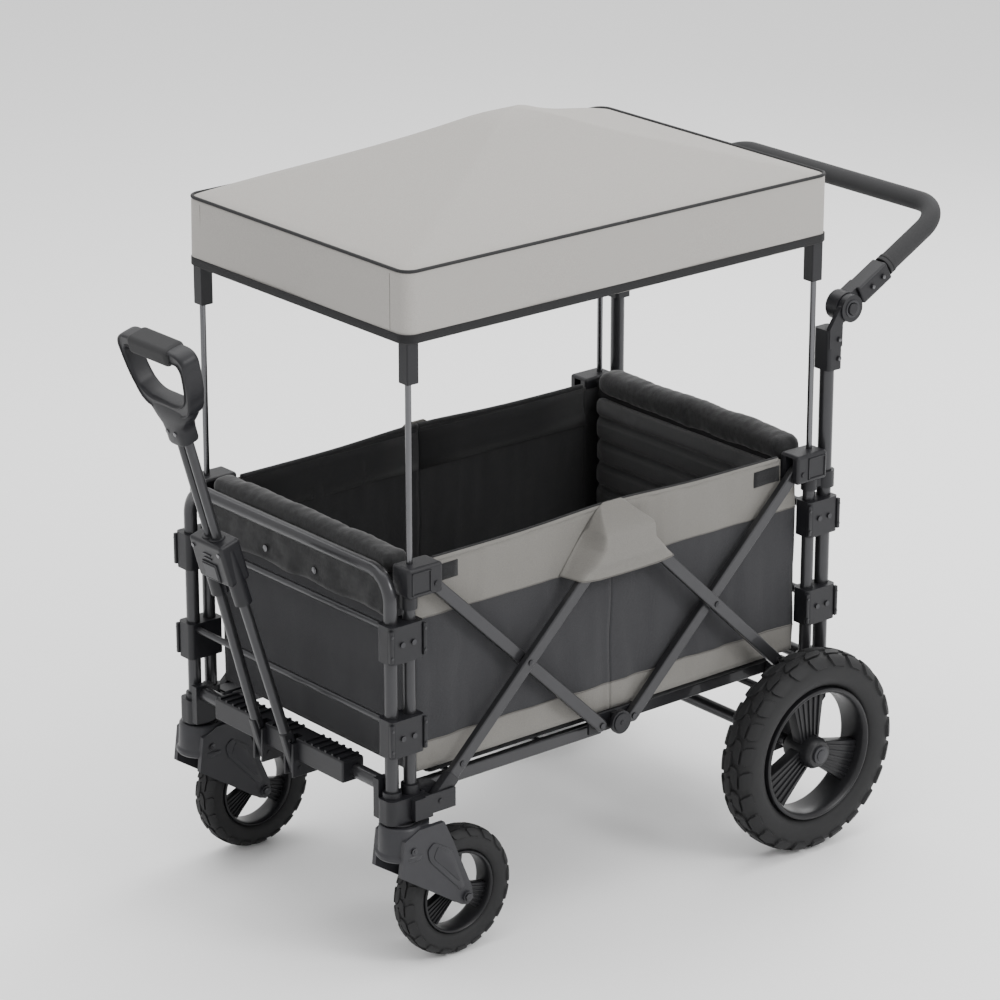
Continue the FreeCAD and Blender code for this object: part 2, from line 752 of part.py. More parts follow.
def canopy(end_name, end):
    """One half of the canopy: its two rods, their sleeves and the fabric roof with its valance."""
    rods = []
    sleeves = []
    for side_name, side in SIDES:
        foot = (f"{end} * dims.rod_x", f"{side} * dims.post_y", "dims.post_top - 16")
        stay = rod(f"{end_name}_stay_{side_name}", "Z", foot, "dims.rod_top - dims.post_top + 16",
                   "dims.rod_dia")
        rods.append(stay)
        half = "dims.sleeve_wide / 2"
        name = f"{end_name}_sleeve_{side_name}"
        body = pillow(name + "_body",
                      along(end, f"dims.sleeve_x - {half}", f"dims.sleeve_x + {half}"),
                      across(side, f"dims.sleeve_y - {half}", f"dims.sleeve_y + {half}"),
                      ("dims.sleeve_foot", "dims.sleeve_top"), 2)
        bore = rod(name + "_bore", "Z", (foot[0], foot[1], "dims.sleeve_foot - 5"),
                   "dims.rod_top - dims.sleeve_foot + 5", "dims.rod_dia")
        sleeves.append(cut(name, body, [bore]))
    keep_part(group(f"{end_name}_stay_pair", rods), f"canopy_rods_{end_name}")
    keep_part(group(f"{end_name}_sleeve_pair", sleeves), f"canopy_sleeves_{end_name}")
    keep_part(canopy_half(end_name, end), f"canopy_{end_name}")


def canopy_half(end_name, end):
    """The roof and valance of one half, open below and at the middle of the wagon."""
    outside = roof_solid(f"{end_name}_roof_outside", end, 0)
    inside = roof_solid(f"{end_name}_roof_inside", end, size("canopy_sheet"))
    return cut(f"{end_name}_roof", outside, [inside])


def roof_solid(name, end, inset):
    """Half of a box with a pyramid on it, with its middle face just past the middle of the wagon."""
    reach = size("canopy_half_x") - inset
    wide = size("canopy_half_y") - inset
    overshoot = 10 if inset else 0
    near = -4 if inset else 1
    plan = ((near, -wide), (reach, -wide), (reach, wide), (near, wide))
    foot = [at(end * x, y, size("valance_foot") - overshoot) for x, y in plan]
    ring = [at(end * x, y, size("canopy_shoulder") - inset) for x, y in plan]
    top = at(end * near, 0, size("canopy_peak") - inset)
    faces = [polygon(foot), polygon([foot[3], foot[0], ring[0], top, ring[3]])]
    for i in range(3):
        faces.append(polygon([foot[i], foot[i + 1], ring[i + 1], ring[i]]))
        faces.append(polygon([ring[i], ring[i + 1], top]))
    piece = doc.addObject("Part::Feature", name)
    piece.Shape = Part.makeSolid(Part.makeShell(faces))
    return piece


def polygon(points):
    return Part.Face(Part.makePolygon(points + points[:1]))


# ---------------------------------------------------------------- wheels

def tyre(name, radius, rim, width):
    """A tyre turned about the x axis of its sketch, with round shoulders and a round sidewall."""
    body = new_body(name)
    sketch = new_sketch(body, name + "_section")
    half = width / 2
    shoulder = 0.17 * width
    crown = 0.35 * half
    wide = [
        (-half + shoulder * 0.6, rim),
        (-half, rim + shoulder),
        (-half, radius - 1.6 * shoulder),
        (-half + 0.35 * shoulder, radius - 0.5 * shoulder),
        (-crown, radius),
    ]
    draw_loop(sketch, wide + [(-x, r) for x, r in reversed(wide)])
    revolve(body, sketch, "H_Axis")
    return body


def rim(name, outer, width, hub_radius, hub_wide, bore):
    """A rim barrel, a hub and three broad spokes in one moulding."""
    body = new_body(name)
    sketch = new_sketch(body, name + "_barrel")
    half = width / 2
    thick = 0.06 * outer + 3
    draw_loop(sketch, [(-half, outer - thick), (-half, outer), (half, outer), (half, outer - thick)])
    revolve(body, sketch, "H_Axis")
    hub_sketch = new_sketch(body, name + "_hub")
    half_hub = hub_wide / 2
    draw_loop(hub_sketch, [(-half_hub, bore), (-half_hub, hub_radius), (half_hub, hub_radius),
                           (half_hub, bore)])
    spoke_sketch = new_sketch(body, name + "_spoke", "XZ_Plane")
    half_spoke = 0.27 * outer
    plate = 0.22 * width
    draw_loop(spoke_sketch, [(-plate, -half_spoke), (plate, -half_spoke), (plate, half_spoke),
                             (-plate, half_spoke)])
    doc.recompute()
    inside_rim = outer - thick / 2
    spoke = body.newObject("PartDesign::Pad", name + "_spoke_pad")
    spoke.Profile = spoke_sketch
    spoke.Reversed = True
    spoke.Length = inside_rim
    doc.recompute()
    ring = body.newObject("PartDesign::PolarPattern", name + "_spokes")
    ring.Originals = [spoke]
    ring.Axis = (spoke_sketch, ["H_Axis"])
    ring.Angle = 360
    ring.Occurrences = 3
    body.Tip = ring
    doc.recompute()
    revolve(body, hub_sketch, "H_Axis")
    bore_sketch = new_sketch(body, name + "_bore", "YZ_Plane")
    draw_circle(bore_sketch, 0, 0, bore)
    doc.recompute()
    hole = body.newObject("PartDesign::Pocket", name + "_hole")
    hole.Profile = bore_sketch
    hole.Midplane = True
    hole.Length = 3 * width
    return body


def wheel_place(piece, x, y, z, spoke_angle):
    """Turn a wheel drawn about x so that it runs about y, and put its middle at a point."""
    turn = Rotation(Vector(0, 1, 0), spoke_angle) * Rotation(Vector(0, 0, 1), 90)
    piece.Placement = Placement(at(x, y, z), turn)
    return piece


def rear_wheels():
    middle = size("rear_inner_y") + size("rear_wide") / 2
    bore = size("axle_dia") / 2 + size("pin_gap") / 2
    for side_name, side in SIDES:
        place = (size("rear_wheel_x"), side * middle, size("rear_radius"))
        rubber = tyre(f"rear_tyre_{side_name}_body", size("rear_radius"), size("rear_rim"), size("rear_wide"))
        keep_part(wheel_place(rubber, *place, 0), f"rear_tyre_{side_name}")
        wheel = rim(f"rear_rim_{side_name}_body", size("rear_rim"), size("rear_wide") - 12, 24, 62, bore)
        wheel_place(wheel, *place, SPOKE_TURN)
        cap_near, cap_thick, cap_dia = middle + 31, 5, 42
        cap_start = across(side, cap_near, cap_near + cap_thick)[0]
        cap = rod(f"rear_cap_{side_name}", "Y", ("dims.rear_wheel_x", cap_start, "dims.rear_radius"),
                  cap_thick, cap_dia)
        keep_part(group(f"rear_rim_{side_name}_set", [wheel, cap]), f"rear_rim_{side_name}")


def front_wheels():
    bore = size("axle_dia") / 2 - 2 + size("pin_gap") / 2
    for side_name, side in SIDES:
        place = (-size("front_wheel_x"), side * size("caster_y"), size("front_radius"))
        rubber = tyre(f"front_tyre_{side_name}_body", size("front_radius"), size("front_rim"),
                      size("front_wide"))
        keep_part(wheel_place(rubber, *place, 0), f"front_tyre_{side_name}")
        wheel = rim(f"front_rim_{side_name}_body", size("front_rim"), size("front_wide") - 8, 15, 46, bore)
        keep_part(wheel_place(wheel, *place, SPOKE_TURN), f"front_rim_{side_name}")


def caster_stems():
    """The swivel bolts that hang from the front low brackets and carry the forks."""
    bolt_foot, bolt_height = 184, 49
    washer_foot, washer_height, washer_dia = 230, 3, 44
    stems = []
    for side_name, side in SIDES:
        place = ("-dims.caster_x", f"{side} * dims.caster_y")
        bolt = rod(f"stem_bolt_{side_name}", "Z", (*place, bolt_foot), bolt_height, "dims.stem_dia")
        washer = rod(f"stem_washer_{side_name}", "Z", (*place, washer_foot), washer_height, washer_dia)
        stems.append(fuse(f"caster_stem_{side_name}", [bolt, washer]))
    return stems


def caster_fork(side_name, side):
    """A round-nosed head with two plates that reach down and back to the axle bolt."""
    name = f"fork_{side_name}"
    middle = side * size("caster_y")
    half, thick = size("fork_half"), size("fork_plate")
    head_half, head_foot, head_top = 27, 182, 229
    place = ("-dims.caster_x", f"{side} * dims.caster_y")
    head = block(name + "_head_box", (-432, -362), (f"{middle - head_half}", f"{middle + head_half}"),
                 (head_foot, head_top))
    pieces = [soften(name + "_head", head, 24, upright), rod(name + "_ring", "Z", (*place, 178), 30, 62)]
    outline = ((-431, 160), (-424, 214), (-398, 226), (-352, 226), (-338, 196), (-302, 110), (-300, 92),
               (-310, 84), (-322, 88))
    for plate_name, near in (("inner", -half), ("outer", half - thick)):
        body = new_body(f"{name}_{plate_name}")
        sketch = new_sketch(body, f"{name}_{plate_name}_outline")
        draw_loop(sketch, outline)
        pad(body, sketch, "dims.fork_plate", midplane=False)
        body.Placement = Placement(at(0, middle + near + thick, 0), Rotation(Vector(1, 0, 0), 90))
        pieces.append(body)
    whole = fuse(name + "_whole", pieces)
    stem = rod(name + "_stem", "Z", (*place, 170), 80, "dims.stem_dia + 2 * dims.pin_gap")
    seat_half = half - thick
    seat = block(name + "_seat", (-440, -300), (f"{middle - seat_half}", f"{middle + seat_half}"),
                 (60, head_foot))
    fork = cut(name + "_cut", whole, [stem, seat])
    nut_height, nut_dia = 4, 16
    axle = ("-dims.front_wheel_x", "dims.front_radius")
    bolt_half = half + nut_height
    bolt = rod(name + "_bolt", "Y", (axle[0], f"{middle - bolt_half}", axle[1]), 2 * bolt_half,
               "dims.axle_dia - 4")
    nuts = [rod(f"{name}_nut{i}", "Y", (axle[0], f"{middle + near}", axle[1]), nut_height, nut_dia)
            for i, near in enumerate((-bolt_half, half))]
    keep_part(fuse(name, [fork, bolt] + nuts), f"caster_fork_{side_name}")


def rear_axle():
    """The axle shaft, its cover tube and the two plates that hang from the rear low brackets."""
    shaft_half, cover_half, cover_dia = 332, 262, 20
    place = ("dims.rear_wheel_x", "dims.rear_radius")
    shaft = rod("axle_shaft", "Y", (place[0], -shaft_half, place[1]), 2 * shaft_half, "dims.axle_dia")
    cover = rod("axle_cover", "Y", (place[0], -cover_half, place[1]), 2 * cover_half, cover_dia)
    pieces = [shaft, cover]
    outline = ((366, 233), (434, 233), (430, 200), (362, 140), (320, 138), (312, 160), (322, 184))
    plate_y, plate_thick = 240, 6
    for side_name, side in SIDES:
        body = new_body(f"axle_plate_{side_name}")
        sketch = new_sketch(body, f"axle_plate_{side_name}_outline")
        draw_loop(sketch, outline)
        pad(body, sketch, plate_thick)
        body.Placement = Placement(at(0, side * plate_y, 0), Rotation(Vector(1, 0, 0), 90))
        pieces.append(body)
    bore_half = 260
    bore = rod("brake_bore", "Y", ("dims.brake_x", -bore_half, "dims.brake_z"), 2 * bore_half,
               "dims.brake_dia + 2 * dims.pin_gap")
    keep_part(cut("axle_whole", fuse("axle_fused", pieces), [bore]), "rear_axle")


def brake_pedal():
    """A foot bar between the axle plates with a pedal in the middle."""
    bar_half, tread_half, tread_corner = 246, 38, 4
    bar = rod("brake_bar", "Y", ("dims.brake_x", -bar_half, "dims.brake_z"), 2 * bar_half, "dims.brake_dia")
    tread = pillow("brake_tread", ("dims.brake_x - dims.brake_dia / 2", "dims.brake_x + 70"),
                   (-tread_half, tread_half),
                   ("dims.brake_z - dims.brake_dia / 2", "dims.brake_z + dims.brake_dia / 2"), tread_corner)
    keep_part(fuse("brake_whole", [bar, tread]), "brake_pedal")


# ---------------------------------------------------------------- pull handle

def pull_base():
    """The ribbed plate on the cross tube, with two pairs of cheeks for the handle's yokes."""
    half_long, rib_step, rib_half, clear_of_cheek = 155, 16, 2, 12
    cheek_faces = ((25.5, 30), (44, 48.5))
    slot = (cheek_faces[0][1], cheek_faces[1][0])
    plate = pillow("pull_plate", (-440, -401), (-half_long, half_long), (268, 302), 3)
    rib_places = [y for y in range(-9 * rib_step, 9 * rib_step + 1, rib_step)
                  if abs(abs(y) - size("pull_foot_y")) > clear_of_cheek]
    ribs = [block(f"pull_rib{i}", (-438, -403), (y - rib_half, y + rib_half), (296, 305))
            for i, y in enumerate(rib_places)]
    cheeks = []
    for side in (-1, 1):
        for near, far in cheek_faces:
            name = f"pull_cheek{len(cheeks)}"
            cheek = block(name, (-449, -404), across(side, near, far), (243, 296))
            cheeks.append(soften(name + "_soft", cheek, BOX_CORNER, any_edge))
    whole = fuse("pull_base_whole", [plate] + ribs + cheeks)
    slots = [block(f"pull_slot{i}", (-460, -426), across(side, *slot), (240, 320))
             for i, side in enumerate((-1, 1))]
    bore_half = 200
    bore = rod("pull_base_bore", "Y", ("-dims.cross_tube_x", -bore_half, "dims.cross_tube_z"), 2 * bore_half,
               "dims.cross_tube_dia")
    body = cut("pull_base_cut", whole, slots + [bore])
    pin_near, pin_length = 24.5, 25
    pins = [rod(f"pull_pin{i}", "Y", ("-dims.pull_x", across(side, pin_near, pin_near + pin_length)[0],
                                      "dims.pull_z"), pin_length, "dims.pin_dia")
            for i, side in enumerate((-1, 1))]
    keep_part(fuse("pull_base_all", [body] + pins), "pull_base")


def lean(piece):
    """Tip a piece of the pull handle, drawn upright over its pivot, to the handle's rest position."""
    base = at(-size("pull_x"), 0, size("pull_z"))
    piece.Placement = Placement(base, Rotation(Vector(0, 1, 0), -size("pull_tilt")))
    return piece


def local_rod(name, place, turn, height, dia):
    """A round bar drawn in a part's own frame."""
    piece = doc.addObject("Part::Cylinder", name)
    bind(piece, {"Radius": f"({dia}) / 2", "Height": height})
    piece.Placement = Placement(Vector(*place), turn)
    return piece


def local_block(name, x, y, z, radius=0):
    """A box drawn in a part's own frame, rounded when a radius is given."""
    piece = doc.addObject("Part::Box", name)
    bind(piece, {"Length": f"({x[1]}) - ({x[0]})", "Width": f"({y[1]}) - ({y[0]})",
                 "Height": f"({z[1]}) - ({z[0]})"})
    piece.Placement = Placement(Vector(x[0], y[0], z[0]), Rotation())
    return soften(name + "_soft", piece, radius, any_edge) if radius else piece


def splayed_rod(name, side, low, high, dia):
    """A bar along one of the two lower tubes of the pull handle, between two heights."""
    foot_y = size("pull_foot_y")
    slope = (size("pull_block_y") - foot_y) / size("block_foot")
    y_low = side * (foot_y + slope * low)
    y_high = side * (foot_y + slope * high)
    length = math.hypot(y_high - y_low, high - low)
    tip = math.degrees(math.atan2(y_low - y_high, high - low))
    return local_rod(name, (0, y_low, low), Rotation(Vector(1, 0, 0), tip), length, dia)


def pull_lower():
    """Yokes, the two splayed tubes and the block that the upper tubes slide through."""
    yoke_half, plug_dia, sleeve_dia = 6.3, 11, 26
    tube_dia = "dims.pull_tube_dia"
    yokes = []
    tubes = []
    sleeves = []
    bores = []
    for side_name, side in SIDES:
        name = f"yoke_{side_name}"
        middle = side * size("pull_foot_y")
        y = (middle - yoke_half, middle + yoke_half)
        body = local_block(name + "_body", (-9, 9), y, (-9, 60), 3)
        pin = local_rod(name + "_pin", (0, y[0] - 1, 0), TURN["Y"], 15, "dims.pin_dia + dims.pin_gap")
        socket = splayed_rod(name + "_socket", side, 40, 70, plug_dia)
        yokes.append(lean(cut(name, body, [pin, socket])))
        outside = splayed_rod(f"pull_tube_{side_name}_out", side, 60, 320, tube_dia)
        inside = splayed_rod(f"pull_tube_{side_name}_in", side, 59, 321, f"{tube_dia} - 2 * dims.tube_wall")
        plug = splayed_rod(f"pull_tube_{side_name}_plug", side, 41, 80, plug_dia)
        shell = cut(f"pull_tube_{side_name}_shell", outside, [inside])
        tubes.append(lean(group(f"pull_tube_{side_name}", [shell, plug])))
        sleeves.append(splayed_rod(f"pull_sleeve_{side_name}", side, 282, 372, sleeve_dia))
        bores.append(splayed_rod(f"pull_sleeve_bore_{side_name}", side, 270, 320, tube_dia))
        bores.append(local_rod(f"pull_slide_bore_{side_name}", (0, side * size("pull_inner_y"), 270),
                               Rotation(), 150, "dims.pull_inner_dia + 2 * dims.slide_gap"))
    keep_part(group("yoke_pair", yokes), "pull_yokes")
    keep_part(group("pull_tube_pair", tubes), "pull_lower_tubes")
    heart = local_block("pull_heart", (-18, 18), (-38, 38), (size("block_foot"), size("block_top")), 5)
    button_half, button_foot, button_top, gap = 15, 325, 349, 0.5
    well = local_block("pull_button_well", (-30, -12), (-button_half - gap, button_half + gap),
                       (button_foot - gap, button_top + gap))
    whole = cut("pull_block_cut", fuse("pull_block_whole", [heart] + sleeves), bores + [well])
    keep_part(lean(whole), "pull_block")
    button = local_block("pull_button_body", (-21, -15), (-button_half, button_half),
                         (button_foot, button_top), BOX_CORNER)
    keep_part(lean(button), "release_button")


def pull_upper():
    """The twin tubes and the D-shaped handle with its soft sleeve."""
    foot, length = 320, 238
    bore_dia = "dims.pull_inner_dia - 2 * dims.tube_wall"
    tubes = []
    for side_name, side in SIDES:
        place = (0, side * size("pull_inner_y"), foot)
        outside = local_rod(f"pull_twin_{side_name}_out", place, Rotation(), length, "dims.pull_inner_dia")
        inside = local_rod(f"pull_twin_{side_name}_in", place, Rotation(), length, bore_dia)
        tubes.append(lean(cut(f"pull_twin_{side_name}", outside, [inside])))
    keep_part(group("pull_twin_pair", tubes), "pull_upper_tubes")
    keep_part(lean(pull_grip()), "pull_grip")
    top = size("grip_top")
    shell = local_block("grip_sleeve_body", (-18.5, 18.5), (-47, 47), (top - 26, top + 2), 8)
    core = local_block("grip_sleeve_core", (-13, 13), (-50, 50), (top - 20, top - 4))
    keep_part(lean(cut("grip_sleeve", shell, [core])), "pull_grip_sleeve")


def pull_grip():
    """The D-shaped frame of the handle, cut away where its soft sleeve sits."""
    body = new_body("grip_body")
    top = size("grip_top")
    foot = size("neck_foot")
    half = ((20, foot), (23, foot + 24), (44, foot + 38), (60, foot + 60), (73, foot + 104),
            (77, top - 22), (73, top - 6), (64, top))
    sketch = new_sketch(body, "grip_outline", "YZ_Plane")
    draw_loop(sketch, list(half) + [(-y, z) for y, z in reversed(half)])
    pad(body, sketch, "dims.grip_depth")
    hole = new_sketch(body, "grip_hole", "YZ_Plane")
    inner = ((30, foot + 64), (46, foot + 80), (57, foot + 110), (60, top - 24))
    draw_loop(hole, list(inner) + [(-y, z) for y, z in reversed(inner)])
    doc.recompute()
    pocket = body.newObject("PartDesign::Pocket", "grip_window")
    pocket.Profile = hole
    pocket.Midplane = True
    pocket.setExpression("Length", "dims.grip_depth + 20")
    doc.recompute()
    soft = body.newObject("PartDesign::Fillet", "grip_soft")
    edges = [f"Edge{i}" for i, edge in enumerate(pocket.Shape.Edges, start=1)
             if abs(abs(edge.CenterOfMass.x) - size("grip_depth") / 2) < 0.01]
    soft.Base = (pocket, edges)
    soft.Radius = 4
    seat = local_block("grip_seat", (-30, 30), (-47.5, 47.5), (top - 28, top + 10))
    seat_core = local_block("grip_seat_core", (-12.8, 12.8), (-60, 60), (top - 19.8, top - 4.2))
    groove = cut("grip_groove", seat, [seat_core])
    bores = [local_rod(f"grip_bore{i}", (0, side * size("pull_inner_y"), 500), Rotation(), 58,
                       "dims.pull_inner_dia") for i, side in enumerate((-1, 1))]
    return cut("grip_cut", body, [groove] + bores)


# ---------------------------------------------------------------- push handle

def tip_back(piece):
    """Turn a piece of the push handle, drawn in a plane with its reach along y, to rest position."""
    base = at(size("push_x"), 0, size("push_z"))
    turn = Rotation(Vector(0, 1, 0), size("push_tilt")) * upright_plane()
    piece.Placement = Placement(base, turn)
    return piece


def upright_plane():
    """Takes the XY plane of a drawing to the wagon's YZ plane."""
    return Rotation(Vector(0, 0, 1), 90) * Rotation(Vector(1, 0, 0), 90)


def push_bar():
    """The bent tube of the push handle and the foam grip over its far part."""
    y = size("loop_y")
    reach = size("push_reach")
    bare = [(-y, 30), (-y, reach), (y, reach), (y, 30)]
    inner = "dims.push_bar_dia - 2 * dims.tube_wall"
    bar = bent_tube("push_bar_body", bare, size("push_bend"), "dims.push_bar_dia", inner)
    keep_part(tip_back(bar), "push_bar")
    covered = [(-y, 94), (-y, reach), (y, reach), (y, 94)]
    foam = bent_tube("push_grip_body", covered, size("push_bend"), "dims.push_grip_dia", "dims.push_bar_dia")
    keep_part(tip_back(foam), "push_grip")


def push_arm(side_name, side):
    """The upper half of a push hinge: a disc, and the socket of the bar."""
    name = f"push_arm_{side_name}"
    y = side * size("loop_y")
    near, far = size("clamp_inner_y"), size("hinge_seam_y") - 0.4
    inner = (near, far) if side > 0 else (-far, -near)
    disc = local_rod(name + "_disc", (0, inner[0], 0), TURN["Y"], far - near, "dims.hinge_dia")
    wide = (y - 14, y + 16) if side > 0 else (y - 16, y + 14)
    socket = local_block(name + "_socket", (-15, 15), wide, (27, 92), 4)
    root = local_block(name + "_root", (-15, 15), inner, (4, 40))
    bore = local_rod(name + "_bore", (0, y, 30), Rotation(), 80, "dims.push_bar_dia")
    face, height = 15.5, 3
    screws = []
    for reach in (52, 76):
        start_y = y + face if side > 0 else y - face - height
        screws.append(local_rod(f"{name}_screw{reach}", (0, start_y, reach), TURN["Y"], height,
                                "dims.screw_dia"))
    arm = fuse(name, [cut(name + "_cut", fuse(name + "_whole", [disc, socket, root]), [bore])] + screws)
    base = at(size("push_x"), 0, size("push_z"))
    arm.Placement = Placement(base, Rotation(Vector(0, 1, 0), size("push_tilt")))
    return arm


def push_arms():
    keep_part(group("push_arm_pair", [push_arm(n, s) for n, s in SIDES]), "push_hinge_arms")


def push_sleeve(side_name, side):
    """The lower half of a push hinge: a sleeve on the post and the outer cheek with the button's well."""
    name = f"push_sleeve_{side_name}"
    column_box = block(name + "_column_box", (403.5, 432.5), across(side, "dims.bracket_inner_y", 256),
                       (735, 798))
    column = soften(name + "_column", column_box, 6, upright)
    web = new_body(name + "_web")
    sketch = new_sketch(web, name + "_web_outline")
    draw_loop(sketch, ((405, 770), (431, 770), (431.5, 806), (447, 812), (440, 838), (426, 832), (405, 800)))
    pad(web, sketch, 7.6)
    web.Placement = Placement(at(0, side * 252.2, 0), Rotation(Vector(1, 0, 0), 90))
    cheek_thick, well_depth, well_dia = 10.6, 11.5, 19
    disc_low = across(side, 248.4, 248.4 + cheek_thick)[0]
    disc = rod(name + "_disc", "Y", ("dims.push_x", disc_low, "dims.push_z"), cheek_thick, 42)
    post = rod(name + "_post", "Z", ("dims.push_post_x", f"{side} * dims.loop_y", 700),
               "dims.push_post_top - 700", "dims.push_post_dia")
    well_low = across(side, 250.5, 250.5 + well_depth)[0]
    well = rod(name + "_well", "Y", ("dims.push_x", well_low, "dims.push_z"), well_depth, well_dia)
    body = cut(name + "_cut", fuse(name + "_whole", [column, web, disc]), [post, well])
    screws = []
    for z in (752, 782):
        screws.append(screw_head(f"{name}_screw{z}", (424, f"{side * 255.5}", z), side))
    return fuse(name, [body] + screws)


def push_sleeves():
    keep_part(group("push_sleeve_pair", [push_sleeve(n, s) for n, s in SIDES]), "push_hinge_sleeves")
    length, dia = 8.5, 17.6
    for side_name, side in SIDES:
        start = (size("push_x"), across(side, 254, 254 + length)[0], size("push_z"))
        button = rod(f"push_button_{side_name}_body", "Y", start, length, dia)
        keep_part(soften(f"push_button_{side_name}_soft", button, BOX_CORNER, any_edge),
                  f"push_button_{side_name}")


# ---------------------------------------------------------------- screws

def fasteners(end_name, end):
    """Two screw heads side by side on each clamp's outer face and, at the front, the caster stems."""
    half_apart = 10
    heads = caster_stems() if end < 0 else []
    for side_name, side in SIDES:
        for level in ("low", "high"):
            for shift in (-half_apart, half_apart):
                name = f"{end_name}_screw_{side_name}_{level}_{len(heads)}"
                place = (f"{end} * dims.clamp_screw_x + {shift}", f"{side} * dims.clamp_outer_y",
                         f"dims.clamp_{level}_foot + dims.clamp_height / 2")
                heads.append(screw_head(name, place, side))
    keep_part(group(f"{end_name}_screw_set", heads), f"{end_name}_fasteners")


# ---------------------------------------------------------------- build, check and write

def build():
    make_sheet()
    front_loop()
    push_posts()
    for end_name, end in ENDS:
        fixed_x = "dims.loop_x" if end < 0 else "dims.push_post_x"
        fixed_dia = "dims.loop_dia" if end < 0 else "dims.push_post_dia"
        sliding_posts(end_name, end)
        clamps(end_name, end, fixed_x, fixed_dia)
        fasteners(end_name, end)
        top_brackets(end_name, end)
        low_brackets(end_name, end)
        floor(end_name, end)
        side_panels(end_name, end)
        canopy(end_name, end)
    rear_cross_rods()
    scissor()
    hubs()
    front_wall()
    rear_wall()
    rear_wheels()
    front_wheels()
    for side_name, side in SIDES:
        caster_fork(side_name, side)
    rear_axle()
    brake_pedal()
    pull_base()
    pull_lower()
    pull_upper()
    push_bar()
    push_arms()
    push_sleeves()
    doc.recompute()


def check():
    """Stop on any object that failed and on any sub-part without a valid solid."""
    for piece in doc.Objects:
        if "Invalid" in piece.State or "Error" in piece.State:
            raise RuntimeError(f"{piece.Name} is {piece.State}")
    for piece in sub_parts:
        shape = piece.Shape
        if shape.isNull() or not shape.isValid() or not shape.Solids:
            raise RuntimeError(f"{piece.Label} has no valid solid")


def write():
    os.makedirs("parts", exist_ok=True)
    for piece in sub_parts:
        piece.Shape.exportStep(f"parts/{piece.Label}.step")


build()
check()
write()
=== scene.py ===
import json
import math

import bmesh
import bpy
from mathutils import Matrix, Vector, noise


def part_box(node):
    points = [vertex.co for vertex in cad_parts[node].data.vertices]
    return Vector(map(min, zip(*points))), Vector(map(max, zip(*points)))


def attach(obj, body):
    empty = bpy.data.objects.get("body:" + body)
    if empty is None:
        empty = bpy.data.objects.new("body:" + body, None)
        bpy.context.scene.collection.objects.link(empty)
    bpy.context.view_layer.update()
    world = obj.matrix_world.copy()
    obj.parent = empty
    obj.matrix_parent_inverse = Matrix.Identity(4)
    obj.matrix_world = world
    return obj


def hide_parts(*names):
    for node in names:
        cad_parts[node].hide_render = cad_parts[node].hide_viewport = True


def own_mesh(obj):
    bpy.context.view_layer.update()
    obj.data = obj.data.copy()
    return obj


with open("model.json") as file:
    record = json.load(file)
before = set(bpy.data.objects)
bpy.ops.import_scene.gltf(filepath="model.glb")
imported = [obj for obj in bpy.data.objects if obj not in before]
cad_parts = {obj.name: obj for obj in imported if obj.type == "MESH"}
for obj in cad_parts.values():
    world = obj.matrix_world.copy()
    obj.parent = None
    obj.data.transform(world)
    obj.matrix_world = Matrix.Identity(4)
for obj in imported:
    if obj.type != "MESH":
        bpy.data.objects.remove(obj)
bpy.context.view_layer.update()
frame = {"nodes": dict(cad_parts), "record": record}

# Lengths are in millimetres from the middle of the basket until spot() turns them into metres.
MM = 0.001
MIDDLE = (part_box("front_posts")[0][0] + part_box("rear_posts")[1][0]) / 2 / MM
SIDES = (("left", -1), ("right", 1))
ENDS = (("front", -1), ("rear", 1))


def spot(x, y, z):
    """A point of the wagon in the row frame, in metres."""
    return Vector(((x + MIDDLE) * MM, y * MM, z * MM))


def corners(node):
    """The lowest and highest corner of a CAD node, in millimetres from the middle of the basket."""
    low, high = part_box(node)
    shift = Vector((MIDDLE, 0, 0))
    return Vector(low) / MM - shift, Vector(high) / MM - shift


def smooth(t):
    """A step from 0 to 1 with soft ends."""
    t = min(1.0, max(0.0, t))
    return t * t * (3 - 2 * t)


# ---------------------------------------------------------------- materials

def tone(red, green, blue):
    """A display colour of 0 to 255 a channel, as linear numbers by the sRGB curve."""
    channels = [c / 255 for c in (red, green, blue)]
    return tuple(c / 12.92 if c < 0.04045 else ((c + 0.055) / 1.055) ** 2.4 for c in channels) + (1.0,)


def node(tree, kind, inputs=None, **settings):
    """A shader node with its settings and input values."""
    made = tree.nodes.new(kind)
    for name, value in settings.items():
        setattr(made, name, value)
    for name, value in (inputs or {}).items():
        made.inputs[name].default_value = value
    return made


